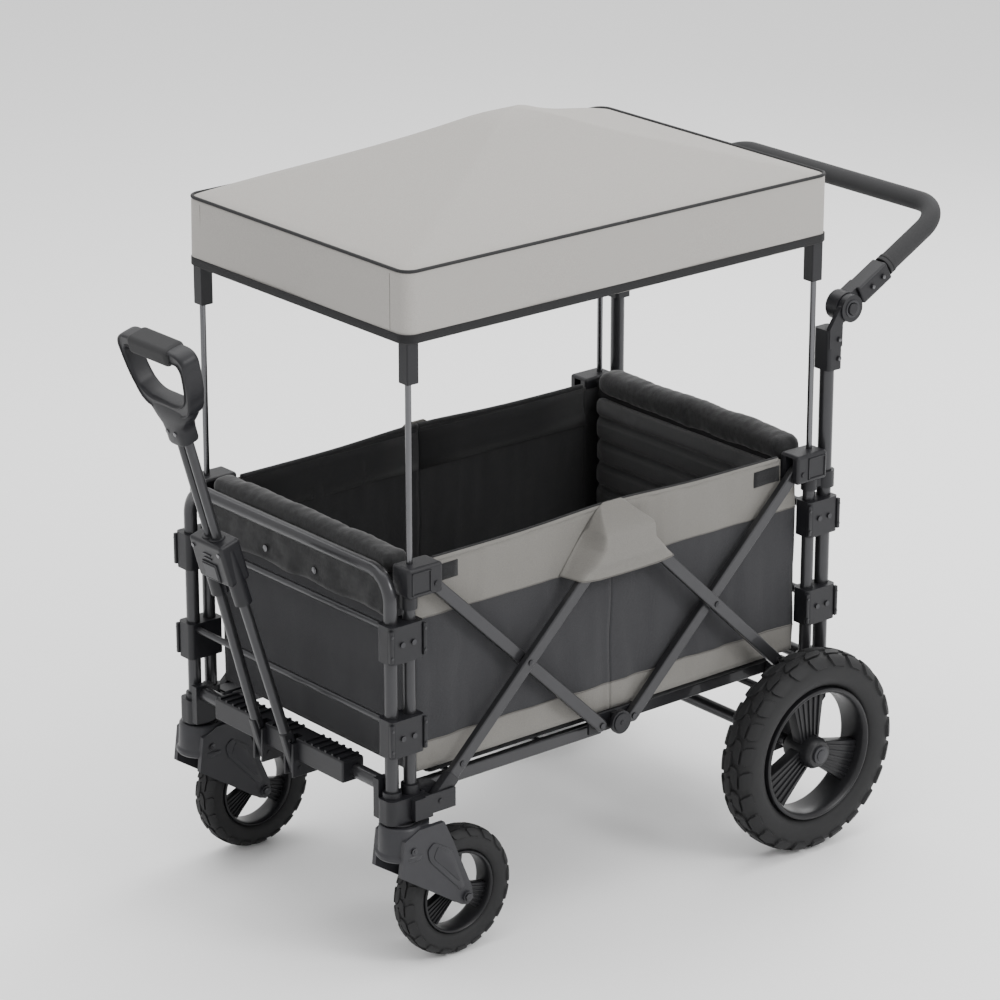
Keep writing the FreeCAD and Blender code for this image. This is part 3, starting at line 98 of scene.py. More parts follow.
def new_material(name, colour, rough, metal=0.0, mottle=0.08, mottle_scale=60, grain=900, depth=0.15,
                 sheen=0.0, coat=0.0, shine=0.3):
    """A surface whose colour drifts a little and whose height has a fine grain."""
    material = bpy.data.materials.new(name)
    material.use_nodes = True
    material.diffuse_color = colour
    tree = material.node_tree
    shader = tree.nodes["Principled BSDF"]
    shader.inputs["Roughness"].default_value = rough
    shader.inputs["Metallic"].default_value = metal
    shader.inputs["Sheen Weight"].default_value = sheen
    shader.inputs["Coat Weight"].default_value = coat
    shader.inputs["Specular IOR Level"].default_value = shine
    place = node(tree, "ShaderNodeTexCoord")
    cloud = node(tree, "ShaderNodeTexNoise", {"Scale": mottle_scale, "Detail": 4.0})
    ramp = node(tree, "ShaderNodeValToRGB")
    ramp.color_ramp.elements[0].position = 0.3
    ramp.color_ramp.elements[1].position = 0.7
    ramp.color_ramp.elements[0].color = tuple(c * (1 - mottle) for c in colour[:3]) + (1.0,)
    ramp.color_ramp.elements[1].color = tuple(min(1.0, c * (1 + mottle)) for c in colour[:3]) + (1.0,)
    fine = node(tree, "ShaderNodeTexNoise", {"Scale": grain, "Detail": 3.0})
    bump = node(tree, "ShaderNodeBump", {"Strength": depth, "Distance": 0.0006})
    tree.links.new(place.outputs["Object"], cloud.inputs["Vector"])
    tree.links.new(place.outputs["Object"], fine.inputs["Vector"])
    tree.links.new(cloud.outputs["Fac"], ramp.inputs["Fac"])
    tree.links.new(ramp.outputs["Color"], shader.inputs["Base Color"])
    tree.links.new(fine.outputs["Fac"], bump.inputs["Height"])
    tree.links.new(bump.outputs["Normal"], shader.inputs["Normal"])
    return material


def woven(name, colour, mottle=0.10, thread=420, depth=0.35, sheen=0.08, rough=0.9):
    """Cloth: crossing sets of threads, heathered yarn and a slow drift of colour."""
    material = new_material(name, colour, rough, mottle=mottle, mottle_scale=850, depth=depth, sheen=sheen,
                            shine=0.12)
    tree = material.node_tree
    bump = [n for n in tree.nodes if n.type == "BUMP"][0]
    place = [n for n in tree.nodes if n.type == "TEX_COORD"][0]
    height = bump.inputs["Height"].links[0].from_socket
    for direction in ("X", "Y", "Z"):
        wave = node(tree, "ShaderNodeTexWave", {"Scale": thread, "Distortion": 0.6},
                    bands_direction=direction)
        both = node(tree, "ShaderNodeMath", operation="ADD")
        tree.links.new(place.outputs["Object"], wave.inputs["Vector"])
        tree.links.new(wave.outputs["Fac"], both.inputs[0])
        tree.links.new(height, both.inputs[1])
        height = both.outputs[0]
    tree.links.new(height, bump.inputs["Height"])
    return material


MATERIALS = {
    "tube_metal": new_material("gunmetal_coat", tone(52, 52, 54), 0.34, metal=0.55, mottle=0.04, depth=0.06,
                               coat=0.25),
    "bright_steel": new_material("bright_steel", tone(96, 96, 98), 0.24, metal=1.0, mottle=0.03, depth=0.03),
    "black_plastic": new_material("grained_black_plastic", tone(26, 26, 29), 0.42, mottle=0.05, grain=1500,
                                  depth=0.22),
    "foam_grip": new_material("foam", tone(46, 46, 47), 0.82, mottle=0.10, mottle_scale=500, grain=1100,
                              depth=0.5),
    "tyre_rubber": new_material("tyre_rubber", tone(27, 27, 28), 0.66, mottle=0.08, mottle_scale=120,
                                grain=700, depth=0.2),
    "rim_plastic": new_material("rim_plastic", tone(25, 25, 27), 0.38, mottle=0.05, grain=1300, depth=0.12),
    "canopy_fabric": woven("canopy_cloth", tone(160, 157, 153), mottle=0.09),
    "basket_fabric": woven("charcoal_cloth", tone(54, 54, 56), mottle=0.16),
    "padded_fabric": woven("padded_black_cloth", tone(58, 58, 59), mottle=0.18, sheen=0.2),
    "floor_fabric": woven("floor_cloth", tone(26, 26, 27), mottle=0.14),
}
BAND = woven("light_band_cloth", tone(116, 114, 110), mottle=0.11)
LINING = woven("lining_cloth", tone(40, 40, 41), mottle=0.15)
PIPING = new_material("piping", tone(34, 34, 35), 0.7, mottle=0.1)
HEM = woven("hem_tape", tone(38, 38, 39), mottle=0.12, thread=600)
VELVET = new_material("dark_pile_cloth", tone(34, 34, 35), 0.95, mottle=0.35, mottle_scale=160, grain=500,
                      depth=0.7, sheen=0.2)
DARK_STEEL = new_material("dark_screws", tone(66, 66, 68), 0.3, metal=0.9, mottle=0.04)
HOUSING = new_material("housing_plastic", tone(42, 42, 45), 0.4, mottle=0.05, grain=1400, depth=0.2)
THREAD = new_material("sewing_thread", tone(92, 90, 87), 0.8, mottle=0.05)


def paint(obj, material):
    """Give a piece one material."""
    obj.data.materials.clear()
    obj.data.materials.append(material)
    return obj


def paint_cad():
    """Every CAD node takes the material of its slot."""
    housing_nodes = ("caster_fork_left", "caster_fork_right")
    for part in frame["record"]["subparts"]:
        material = MATERIALS[part["material_slot"]]
        if part["node"] in housing_nodes:
            material = HOUSING
        if part["node"] in ("front_fasteners", "rear_fasteners"):
            material = DARK_STEEL
        paint(frame["nodes"][part["node"]], material)


# ---------------------------------------------------------------- mesh helpers

def mesh_object(name, points, faces, material, slot, round_faces=True):
    """An object from points in metres and faces."""
    mesh = bpy.data.meshes.new(name)
    mesh.from_pydata([tuple(p) for p in points], [], faces)
    mesh.validate()
    mesh.update()
    obj = bpy.data.objects.new(name, mesh)
    bpy.context.scene.collection.objects.link(obj)
    for polygon in mesh.polygons:
        polygon.use_smooth = round_faces
    return paint(obj, material)


def grid_faces(rows, columns, offset=0, closed=False):
    """Quads between rows of equal length; closed joins the last column to the first."""
    faces = []
    for i in range(rows - 1):
        for j in range(columns if closed else columns - 1):
            k = (j + 1) % columns
            a = offset + i * columns
            b = a + columns
            faces.append((a + j, a + k, b + k, b + j))
    return faces


def ring_faces(rows, columns):
    """Quads over a surface that closes both ways: the last row joins the first one."""
    last = (rows - 1) * columns
    seam = [(last + j, last + (j + 1) % columns, (j + 1) % columns, j) for j in range(columns)]
    return grid_faces(rows, columns, closed=True) + seam


def capped_faces(rows, columns):
    """Quads round a closed outline that runs through rows, with a flat face at each end."""
    caps = [tuple(reversed(range(columns))), tuple(range((rows - 1) * columns, rows * columns))]
    return grid_faces(rows, columns, closed=True) + caps


def tube_mesh(path, radius, sides=10):
    """Points and faces of a round tube along a path, with flat ends."""
    count = len(path)
    points = []
    normal = None
    for i, here in enumerate(path):
        before = path[i - 1] if i else here
        after = path[i + 1] if i + 1 < count else here
        heading = (after - before).normalized()
        if normal is None:
            normal = heading.orthogonal().normalized()
        normal = (normal - heading * normal.dot(heading)).normalized()
        across = heading.cross(normal)
        for j in range(sides):
            turn = math.tau * j / sides
            points.append(here + (normal * math.cos(turn) + across * math.sin(turn)) * radius)
    return points, capped_faces(count, sides)


def merge(pieces):
    """One list of points and faces out of several."""
    points = []
    faces = []
    for more_points, more_faces in pieces:
        shift = len(points)
        points += more_points
        faces += [tuple(i + shift for i in face) for face in more_faces]
    return points, faces


def box_mesh(low, high):
    """Points and faces of a box between two corners, in millimetres."""
    xs, ys, zs = zip(low, high)
    points = [(x, y, z) for x in xs for y in ys for z in zs]
    faces = [(0, 1, 3, 2), (4, 6, 7, 5), (0, 4, 5, 1), (2, 3, 7, 6), (0, 2, 6, 4), (1, 5, 7, 3)]
    return [Vector(p) for p in points], faces


def disc_mesh(centre, axis, radius, depth, sides=24):
    """Points and faces of a short round bar from its centre along an axis, in millimetres."""
    axis = Vector(axis).normalized()
    across = axis.orthogonal().normalized()
    other = axis.cross(across)
    points = []
    for end in (0.0, depth):
        for j in range(sides):
            turn = math.tau * j / sides
            rim = across * math.cos(turn) + other * math.sin(turn)
            points.append(Vector(centre) + axis * end + rim * radius)
    return points, capped_faces(2, sides)


def to_world(points, matrix=None):
    """Millimetre points as metres: through a part's own matrix, or from the middle of the basket."""
    if matrix is None:
        return [spot(*p) for p in points]
    return [matrix @ (Vector(p) * MM) for p in points]


def hard_piece(name, pieces, material, slot, body, matrix=None, bevel=0.8):
    """A rigid piece built of several meshes in millimetres, with softened edges, riding on a body."""
    points, faces = merge(pieces)
    obj = mesh_object(name, to_world(points, matrix), faces, material, slot, round_faces=False)
    tidy_normals(obj)
    soften = obj.modifiers.new("edges", "BEVEL")
    soften.width = bevel * MM
    soften.segments = 2
    soften.limit_method = "ANGLE"
    soften.angle_limit = math.radians(35)
    soften.harden_normals = False
    apply_modifiers(obj)
    round_shading(obj)
    sharpen(obj)
    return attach(obj, body)


def round_shading(obj):
    """Smooth shading on every face."""
    for polygon in obj.data.polygons:
        polygon.use_smooth = True


def tidy_normals(obj):
    """Turn all the faces outwards."""
    work = bmesh.new()
    work.from_mesh(obj.data)
    bmesh.ops.recalc_face_normals(work, faces=work.faces)
    work.to_mesh(obj.data)
    work.free()


def sharpen(obj, angle=40):
    """Smooth shading that breaks at edges sharper than an angle."""
    work = bmesh.new()
    work.from_mesh(obj.data)
    for edge in work.edges:
        edge.smooth = len(edge.link_faces) == 2 and edge.calc_face_angle(0) < math.radians(angle)
    work.to_mesh(obj.data)
    work.free()


def apply_modifiers(obj):
    """Put the result of the modifiers into the mesh."""
    bpy.context.view_layer.update()
    graph = bpy.context.evaluated_depsgraph_get()
    finished = bpy.data.meshes.new_from_object(obj.evaluated_get(graph))
    obj.modifiers.clear()
    obj.data = finished


def thicken(obj, thickness, offset=0.0):
    """Give a sheet its thickness in millimetres."""
    solid = obj.modifiers.new("cloth", "SOLIDIFY")
    solid.thickness = thickness * MM
    solid.offset = offset
    solid.use_rim = True
    apply_modifiers(obj)


def sheet_object(name, rows, material, thickness, slot="basket_fabric", offset=0.0):
    """A sheet of cloth through rows of points, with a thickness in millimetres."""
    points = [p for row in rows for p in row]
    obj = mesh_object(name, points, grid_faces(len(rows), len(rows[0])), material, slot)
    tidy_normals(obj)
    thicken(obj, thickness, offset)
    return obj


def folding(obj, end_name):
    """A soft piece of one end of the basket or canopy, riding on that end's post with a mesh of its own."""
    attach(obj, f"post_{end_name}")
    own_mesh(obj)
    return obj


# ---------------------------------------------------------------- canopy

CANOPY_LOW, CANOPY_HIGH = corners("canopy_front")
ROOF_HALF_X = -CANOPY_LOW.x
ROOF_HALF_Y = CANOPY_HIGH.y
PEAK = CANOPY_HIGH.z
VALANCE_FOOT = CANOPY_LOW.z
SHOULDER = VALANCE_FOOT + 101
ROOF_CORNER = 20
EDGE_BEND = 5
VALANCE_SWELL = EDGE_BEND / ROOF_HALF_X * 0.35
STRAIGHT_STEPS = 26
CORNER_STEPS = 8


def roof_edge(end, reach, corner):
    """Half of a rounded rectangle round the roof, from the middle of one long side to the other's."""
    half_x = ROOF_HALF_X * reach
    half_y = ROOF_HALF_Y * reach
    straight = [(end * (half_x - corner) * i / STRAIGHT_STEPS, half_y) for i in range(STRAIGHT_STEPS)]
    turns = [math.pi / 2 * i / CORNER_STEPS for i in range(CORNER_STEPS + 1)]
    points = [(x, -y) for x, y in straight]
    for turn in turns:
        x = end * (half_x - corner + corner * math.sin(turn))
        points.append((x, -half_y + corner - corner * math.cos(turn)))
    for i in range(1, 2 * STRAIGHT_STEPS):
        points.append((end * half_x, (-1 + i / STRAIGHT_STEPS) * (half_y - corner)))
    for turn in turns:
        x = end * (half_x - corner + corner * math.cos(turn))
        points.append((x, half_y - corner + corner * math.sin(turn)))
    return points + straight[::-1]


def roof_height(reach):
    """The height of the taut roof between its peak and its edge: a soft tip, then nearly straight."""
    tip = 0.16
    slope = 1 - reach if reach > tip else 1 - tip / 2 - reach * reach / (2 * tip)
    sag = 0.10 * math.sin(math.pi * reach)
    return SHOULDER + (PEAK - SHOULDER) * (slope / (1 - tip / 2) - sag * slope)


def canopy_cloth(end_name, end):
    """Half of the roof with its valance: rings from the peak out to the edge and down."""
    rings = []
    tip = 0.004
    roof_rings = 22
    for i in range(roof_rings + 1):
        reach = i / roof_rings
        corner = 4 + (ROOF_CORNER - 4) * reach
        z = roof_height(reach)
        reach = max(reach, tip)
        rings.append([spot(x, y, z) for x, y in roof_edge(end, reach, min(corner, 200 * reach))])
    bend_rings = 3
    for i in range(1, bend_rings + 1):
        turn = math.pi / 2 * i / bend_rings
        out = 1 + VALANCE_SWELL * math.sin(turn)
        z = SHOULDER - EDGE_BEND * (1 - math.cos(turn))
        rings.append([spot(x, y, z) for x, y in roof_edge(end, out, ROOF_CORNER)])
    drops = 12
    wave_height = 1.4
    for i in range(1, drops + 1):
        fall = i / drops
        z = SHOULDER - EDGE_BEND - (SHOULDER - EDGE_BEND - VALANCE_FOOT) * fall
        ring = []
        for x, y in roof_edge(end, 1 + VALANCE_SWELL, ROOF_CORNER):
            wave = wave_height * fall * math.sin(x * 0.021 + 1.3) * math.sin(y * 0.017 + 0.6)
            out = end * wave if abs(x) > ROOF_HALF_X - 3 else 0
            ring.append(spot(x + out, y * (1 + wave / ROOF_HALF_Y), z))
        rings.append(ring)
    cloth = sheet_object(f"canopy_cloth_{end_name}", rings, MATERIALS["canopy_fabric"], 1.6, "canopy_fabric",
                         offset=-1)
    sharpen(cloth, 60)
    return cloth


def canopy_trims(end_name, end):
    """The piping round the roof's edge, the hem tape at the foot and the two seams at each corner."""
    edge = [spot(x, y, SHOULDER + 1.0) for x, y in roof_edge(end, 1.001, ROOF_CORNER)]
    piping = mesh_object(f"canopy_piping_{end_name}", *tube_mesh(edge, 2.6 * MM, 8), PIPING, "canopy_fabric")
    tape = []
    tape_profile = ((0.003, 13), (0.0045, 12), (0.0045, 1), (0.001, -0.5), (-0.006, 1), (-0.006, 12))
    for spread, height in tape_profile:
        outline = roof_edge(end, 1 + VALANCE_SWELL + spread, ROOF_CORNER)
        tape.append([spot(x, y, VALANCE_FOOT + height) for x, y in outline])
    hem = mesh_object(f"canopy_hem_{end_name}", [p for row in tape for p in row],
                      grid_faces(len(tape), len(tape[0])), HEM, "canopy_fabric")
    tidy_normals(hem)
    seams = []
    from_corner = 34
    for side in (-1, 1):
        for x, y in ((ROOF_HALF_X - from_corner, ROOF_HALF_Y + 0.6),
                     (ROOF_HALF_X + 1.6, ROOF_HALF_Y - from_corner)):
            line = [spot(end * x, side * y, z) for z in (SHOULDER - 6, VALANCE_FOOT + 14)]
            seams.append(tube_mesh(line, 0.5 * MM, 6))
    points, faces = merge(seams)
    stitches = mesh_object(f"canopy_seams_{end_name}", points, faces, THREAD, "canopy_fabric")
    return piping, hem, stitches


def build_canopy():
    """Both halves of the canopy."""
    for end_name, end in ENDS:
        cloth = canopy_cloth(end_name, end)
        trims = canopy_trims(end_name, end)
        for piece in (cloth,) + trims:
            folding(piece, end_name)
        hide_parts(f"canopy_{end_name}")


# ---------------------------------------------------------------- basket walls

PANEL_LOW, PANEL_HIGH = corners("front_side_panels")
CLOTH_Y = PANEL_HIGH.y - 3
CLOTH_FOOT = PANEL_LOW.z
CLOTH_TOP = PANEL_HIGH.z
LOW_BAND = CLOTH_FOOT + 42
HIGH_BAND = CLOTH_TOP - 82
BRACKET_EDGE = 337.5
UNDER_BRACKET = 566
WALL_X = 369
CORNER_COLUMN_STEP = 7.4
TAB_WIDTHS = {"front": 48, "rear": 52}
TAB_HEIGHTS = (571, 579, 587, 595)
END_CLOTH_TOPS = {"front": 596, "rear": 604}
FACING_DROPS = (62, 40, 18, 1)


def crease(x, z, seed):
    """How far hanging cloth stands off its plane: upright folds, deeper near the foot, and soft dents."""
    low = 1 - smooth((z - CLOTH_FOOT) / 190)
    near_edge = smooth((z - CLOTH_FOOT) / 10)
    folds = math.sin(x * 0.075 + 2.1 * noise.noise(Vector((x * 0.012, z * 0.004, seed))))
    dents = noise.noise(Vector((x * 0.011, z * 0.016, seed + 7.3)))
    small = noise.noise(Vector((x * 0.05, z * 0.012, seed + 3.1)))
    return near_edge * (folds * (0.4 + 1.3 * low) + 2.6 * dents + 1.3 * small)


def wall_columns(end):
    """The x of each upright line of cloth on a long side, from the middle of the wagon to the corner."""
    steps = 60
    inner = [BRACKET_EDGE * i / steps for i in range(steps + 1)]
    outer = [BRACKET_EDGE + 0.6 + CORNER_COLUMN_STEP * i for i in range(5)]
    return [end * x for x in inner + outer]


def wall_rows(top):
    """The heights of the cloth's rows, with one on each edge of its bands."""
    low = [CLOTH_FOOT + (LOW_BAND - CLOTH_FOOT) * i / 5 for i in range(5)]
    middle = [LOW_BAND + (HIGH_BAND - LOW_BAND) * i / 20 for i in range(20)]
    high = [HIGH_BAND + (top - HIGH_BAND) * i / 9 for i in range(10)]
    return low + middle + high


def side_rise(x):
    """The top edge of a long side: a little higher in the middle, cut away under the top bracket."""
    if abs(x) > BRACKET_EDGE:
        return UNDER_BRACKET
    return CLOTH_TOP + 7 * math.exp(-((x / 120) ** 2))


def band_materials(obj):
    """Light cloth above and below the charcoal of the middle."""
    obj.data.materials.append(BAND)
    for polygon in obj.data.polygons:
        z = polygon.center.z / MM
        if z < LOW_BAND or z > HIGH_BAND:
            polygon.material_index = 1


def side_cloth(side_name, side, end_name, end):
    """The outer cloth of half of a long side, its lining and the lines sewn on it."""
    name = f"{end_name}_{side_name}"
    columns = wall_columns(end)
    seed = side * 11.0

    def outside(x, z, lift=0.0):
        return spot(x, side * (CLOTH_Y + 1.2 + crease(x, z, seed) + lift), z)

    def inside(x, z, lift=0.0):
        return spot(x, side * (CLOTH_Y - 5.2 + 1.3 * crease(x, z, seed + 4) - lift), z)

    outer_rows = [[outside(x, z) for z in wall_rows(side_rise(x))] for x in columns]
    outer = sheet_object(f"side_cloth_{name}", outer_rows, MATERIALS["basket_fabric"], 1.4)
    band_materials(outer)
    lining_rows = [[inside(x, z) for z in wall_rows(side_rise(x) - 1)] for x in columns]
    lining = sheet_object(f"side_lining_{name}", lining_rows, LINING, 1.2)
    lines = []
    for z, radius in ((LOW_BAND, 1.3), (HIGH_BAND, 0.9)):
        lines.append(tube_mesh([outside(x, z, 0.8) for x in columns], radius * MM, 6))
    points, faces = merge(lines)
    piping = mesh_object(f"side_piping_{name}", points, faces, THREAD, "basket_fabric")
    top = [spot(x, side * (CLOTH_Y - 2), side_rise(x) + 0.5) for x in columns if abs(x) < BRACKET_EDGE]
    points, faces = tube_mesh(top, 4.6 * MM, 12)
    binding = mesh_object(f"side_binding_{name}", points, faces, BAND, "basket_fabric")
    binding.data.materials.append(HEM)
    for polygon in binding.data.polygons:
        polygon.material_index = int(abs(polygon.center.y) / MM < CLOTH_Y + 0.5)
    tab_end = BRACKET_EDGE - 3
    low_x, high_x = sorted((end * tab_end, end * (tab_end - TAB_WIDTHS[end_name])))
    tab_x = [low_x + (high_x - low_x) * i / 6 for i in range(7)]
    tab_rows = [[outside(x, z, 1.3) for z in TAB_HEIGHTS] for x in tab_x]
    tab = sheet_object(f"side_tab_{name}", tab_rows, HEM, 1.2)
    facing_x = [end * x for x in (2, 80, 160, 240, 336)]
    facing_rows = [[inside(x, CLOTH_TOP - drop, 1.9) for drop in FACING_DROPS] for x in facing_x]
    facing = sheet_object(f"side_facing_{name}", facing_rows, HEM, 1.0)
    for piece in (outer, lining, piping, binding, tab, facing):
        folding(piece, end_name)
    return outer, lining, (piping, binding, tab), facing


def build_sides():
    """Both halves of both long sides."""
    for end_name, end in ENDS:
        for side_name, side in SIDES:
            outer, lining, trims, facing = side_cloth(side_name, side, end_name, end)
            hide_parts(f"{end_name}_side_panels")


BAR_SLOPE = math.tan(math.radians(43.8))


def pouch(side_name, side):
    """The cloth tent over the top hub: sewn to the top edge, spread by the bars, with a hanging hem."""
    foot = HIGH_BAND + 2
    top = CLOTH_TOP + 14
    low, high = corners("top_hubs")
    hub_half = 46.5
    wall = CLOTH_Y + 3.4
    over_hub = high.y + 2.6
    over_bars = 267
    bar_wide = 30
    top_half, foot_half = 17, 100
    hollow, swag_height = 2.8, 1.4
    hem_sag = 8
    across = 80
    down = 40
    rows = []
    for j in range(down + 1):
        fall = j / down
        z = top - (top - foot) * fall
        half = top_half + (foot_half - top_half) * fall ** 0.82
        below = max(0.0, low.z + 14 - z)
        spread = min(half - 4, hub_half + below / BAR_SLOPE)
        inner = max(8.0, spread - bar_wide)
        under_hub = smooth((low.z - z) / 16)
        cover = over_hub - (over_hub - over_bars) * under_hub
        roof = smooth((top - z) / (top - high.z - 2))
        row = []
        for i in range(across + 1):
            u = -1 + 2 * i / across
            x = half * u
            flank = smooth((half - abs(x)) / (half - spread))
            between = max(0.0, 1 - (x / inner) ** 2) * under_hub
            swag = swag_height * math.sin(0.30 * (low.z - z) + 2.2 * u * u)
            out = wall + (cover - wall) * flank * roof - (hollow + swag) * between
            sag = hem_sag * fall * fall * (1 - u * u)
            row.append(spot(x, side * out, z - sag))
        rows.append(row)
    cloth = sheet_object(f"hub_pouch_{side_name}", rows, BAND, 1.4)
    hem_line = [p + Vector((0, side * 0.9 * MM, 0.6 * MM)) for p in rows[-1]]
    points, faces = tube_mesh(hem_line, 1.0 * MM, 6)
    hem = mesh_object(f"hub_pouch_hem_{side_name}", points, faces, THREAD, "basket_fabric")
    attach(cloth, "hub_top")
    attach(hem, "hub_top")


def build_pouches():
    """A tent over the top hub of each long side."""
    for side_name, side in SIDES:
        pouch(side_name, side)


def build_end_walls():
    """The cloth of both ends."""
    for end_name, end in ENDS:
        end_cloth(end_name, end)


def end_cloth(end_name, end):
    """The cloth across one end and its lining, with the lining turned in at both corners."""
    half = CLOTH_Y - 1
    steps = 44
    top = END_CLOTH_TOPS[end_name]
    low = CLOTH_FOOT + 1
    heights = [low + (top - low) * i / 24 for i in range(25)]
    layers = []
    for layer, x_off, material in (("cloth", 0.0, MATERIALS["basket_fabric"]), ("lining", -4.6, LINING)):
        rows = []
        for i in range(steps + 1):
            y = -half + 2 * half * i / steps
            rows.append([spot(end * (WALL_X + x_off + 0.5 * crease(y, z, 21 + end)), y, z) for z in heights])
        obj = sheet_object(f"{end_name}_wall_{layer}", rows, material, 1.3)
        layers.append(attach(obj, f"post_{end_name}"))
    cloth, lining = layers
    first_x = BRACKET_EDGE - 6
    last_x = WALL_X - 4
    for side_name, side in SIDES:
        rows = []
        for i in range(9):
            x = first_x + (last_x - first_x) * i / 8
            rows.append([spot(end * x, side * (219.5 + 0.4 * math.sin(0.3 * x + 0.05 * z)), z)
                         for z in (CLOTH_FOOT + 8, 400, 500, 560, top - 5)])
        corner_piece = sheet_object(f"{end_name}_corner_lining_{side_name}", rows, LINING, 1.2)
        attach(corner_piece, f"post_{end_name}")
    if end > 0:
        band_materials(cloth)
    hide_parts(f"{end_name}_wall")


# ---------------------------------------------------------------- padded pieces

PAD_FRAMES = 20
PAD_HALF_Y = 213


def pillow_object(name, low, high, material, slot):
    """A closed box mesh with rounded edges, to be swelled into a pad."""
    points, faces = box_mesh(low, high)
    obj = mesh_object(name, to_world(points), faces, material, slot)
    tidy_normals(obj)
    radius = 0.42 * min(b - a for a, b in zip(low, high))
    bevel = obj.modifiers.new("round", "BEVEL")
    bevel.width = radius * MM
    bevel.segments = 5
    apply_modifiers(obj)
    return obj


def swell(obj, voxel=5.0, pressure=4.0, cap=7.0):
    """Puff a pad up with a short cloth simulation, cap how far a point moves, and keep the result."""
    remesh = obj.modifiers.new("even", "REMESH")
    remesh.mode = "VOXEL"
    remesh.voxel_size = voxel * MM
    apply_modifiers(obj)
    before = [v.co.copy() for v in obj.data.vertices]
    cloth = obj.modifiers.new("cloth", "CLOTH")
    cloth.settings.use_pressure = True
    cloth.settings.uniform_pressure_force = pressure
    cloth.settings.effector_weights.gravity = 0
    cloth.settings.quality = 5
    cloth.point_cache.frame_end = PAD_FRAMES
    scene = bpy.context.scene
    for step in range(1, PAD_FRAMES + 1):
        scene.frame_set(step)
    apply_modifiers(obj)
    for vertex, start in zip(obj.data.vertices, before):
        moved = vertex.co - start
        if moved.length > cap * MM:
            vertex.co = start + moved.normalized() * cap * MM
    scene.frame_set(1)
    finer = obj.modifiers.new("finer", "SUBSURF")
    finer.levels = 1
    finer.render_levels = 1
    apply_modifiers(obj)
    round_shading(obj)


def press(obj, axis, centres, half, depth, towards, above=0.0):
    """Press sewn channels into a pad: lines at some places of one axis, sunk along another."""
    index = "xyz".index(axis)
    for vertex in obj.data.vertices:
        place = vertex.co[index] / MM - (MIDDLE if axis == "x" else 0)
        near = min(abs(place - c) for c in centres)
        if near < half and vertex.co.z > above * MM:
            vertex.co += Vector(towards) * depth * MM * (1 - smooth(near / half))


def build_rolls():
    """The padded rolls over both ends and the back rest."""
    plans = (("front", -1, (-398, -357), (591, 623)), ("rear", 1, (349, 398), (591, 628)))
    for end_name, end, x, z in plans:
        roll = pillow_object(f"{end_name}_roll", (x[0], -PAD_HALF_Y, z[0]), (x[1], PAD_HALF_Y, z[1]), VELVET,
                             "padded_fabric")
        swell(roll, cap=5)
        for vertex in roll.data.vertices:
            place = vertex.co / MM
            dent = noise.noise(Vector((place.x * 0.02, place.y * 0.022, place.z * 0.02 + end)))
            wrinkle = noise.noise(Vector((place.x * 0.06, place.y * 0.09, place.z * 0.05 + end)))
            vertex.co += Vector((0.3, 0, 1)) * (2.4 * dent + 1.1 * wrinkle) * MM
        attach(roll, f"post_{end_name}")
    rest = pillow_object("back_rest", (345, -PAD_HALF_Y, 303), (364, PAD_HALF_Y, 592),
                         MATERIALS["padded_fabric"], "padded_fabric")
    swell(rest, cap=6)
    channels = [330 + 38 * i for i in range(7)]
    press(rest, "z", channels, 10, 6.5, (1, 0, 0))
    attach(rest, "post_rear")


def build_flap():
    """The flap that hangs from the front roll, with its two snaps."""
    across, down = 48, 11
    top, drop, plane = 604, 72, 399.5
    rows = []
    for i in range(across + 1):
        y = -PAD_HALF_Y + 2 * PAD_HALF_Y * i / across
        row = []
        for j in range(down + 1):
            fall = j / down
            z = top - drop * fall - 2 * math.sin(y * 0.05)
            wave = 1.6 * fall * math.sin(y * 0.062 + 1.2 * math.sin(y * 0.021))
            dent = 2.6 * noise.noise(Vector((y * 0.045, z * 0.06, 2.0)))
            dent += 1.5 * noise.noise(Vector((y * 0.11, z * 0.13, 5.0)))
            row.append(spot(-(plane + wave + dent), y, z))
        rows.append(row)
    flap = sheet_object("front_flap", rows, VELVET, 1.6, "padded_fabric")
    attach(flap, "post_front")
    snaps = [disc_mesh((-plane - 2, y, 553), (-1, 0, 0), 5.5, 2.6, 20) for y in (71, -46)]
    snap = hard_piece("flap_snaps", snaps, MATERIALS["bright_steel"], "bright_steel", "post_front", bevel=0.8)


def build_floor():
    """A quilted mat over each half of the floor; the halves tilt with the rails when the wagon folds."""
    near_x, far_x, half_y = 3, 335, 217
    low_z, high_z = 271.5, 286
    for end_name, end in ENDS:
        x = sorted((end * near_x, end * far_x))
        mat = pillow_object(f"floor_mat_{end_name}", (x[0], -half_y, low_z), (x[1], half_y, high_z),
                            MATERIALS["floor_fabric"], "floor_fabric")
        swell(mat, voxel=6, cap=3)
        for axis, places in (("x", [end * (60 + 70 * i) for i in range(4)]), ("y", [-140, -47, 47, 140])):
            press(mat, axis, places, 8, 3.5, (0, 0, -1), above=high_z - 6)
        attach(mat, f"rail_{end_name}")
        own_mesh(mat)
        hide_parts(f"floor_board_{end_name}")


# ---------------------------------------------------------------- wheels

SPOKE_ANGLES = [math.radians(a) for a in (95, 215, 335)]


def tyre_section(turn, half, middle, high):
    """A point and outward direction of the tyre's rounded section."""
    power = 2 / 2.6
    c, s = math.cos(turn), math.sin(turn)
    w = half * math.copysign(abs(c) ** power, c)
    r = middle + high * math.copysign(abs(s) ** power, s)
    normal = Vector((c / half, s / high)).normalized()
    return w, r, normal


def wheel_point(w, r, turn):
    """A point at a place along the axle, a radius and an angle."""
    return Vector((r * math.cos(turn), w, r * math.sin(turn)))


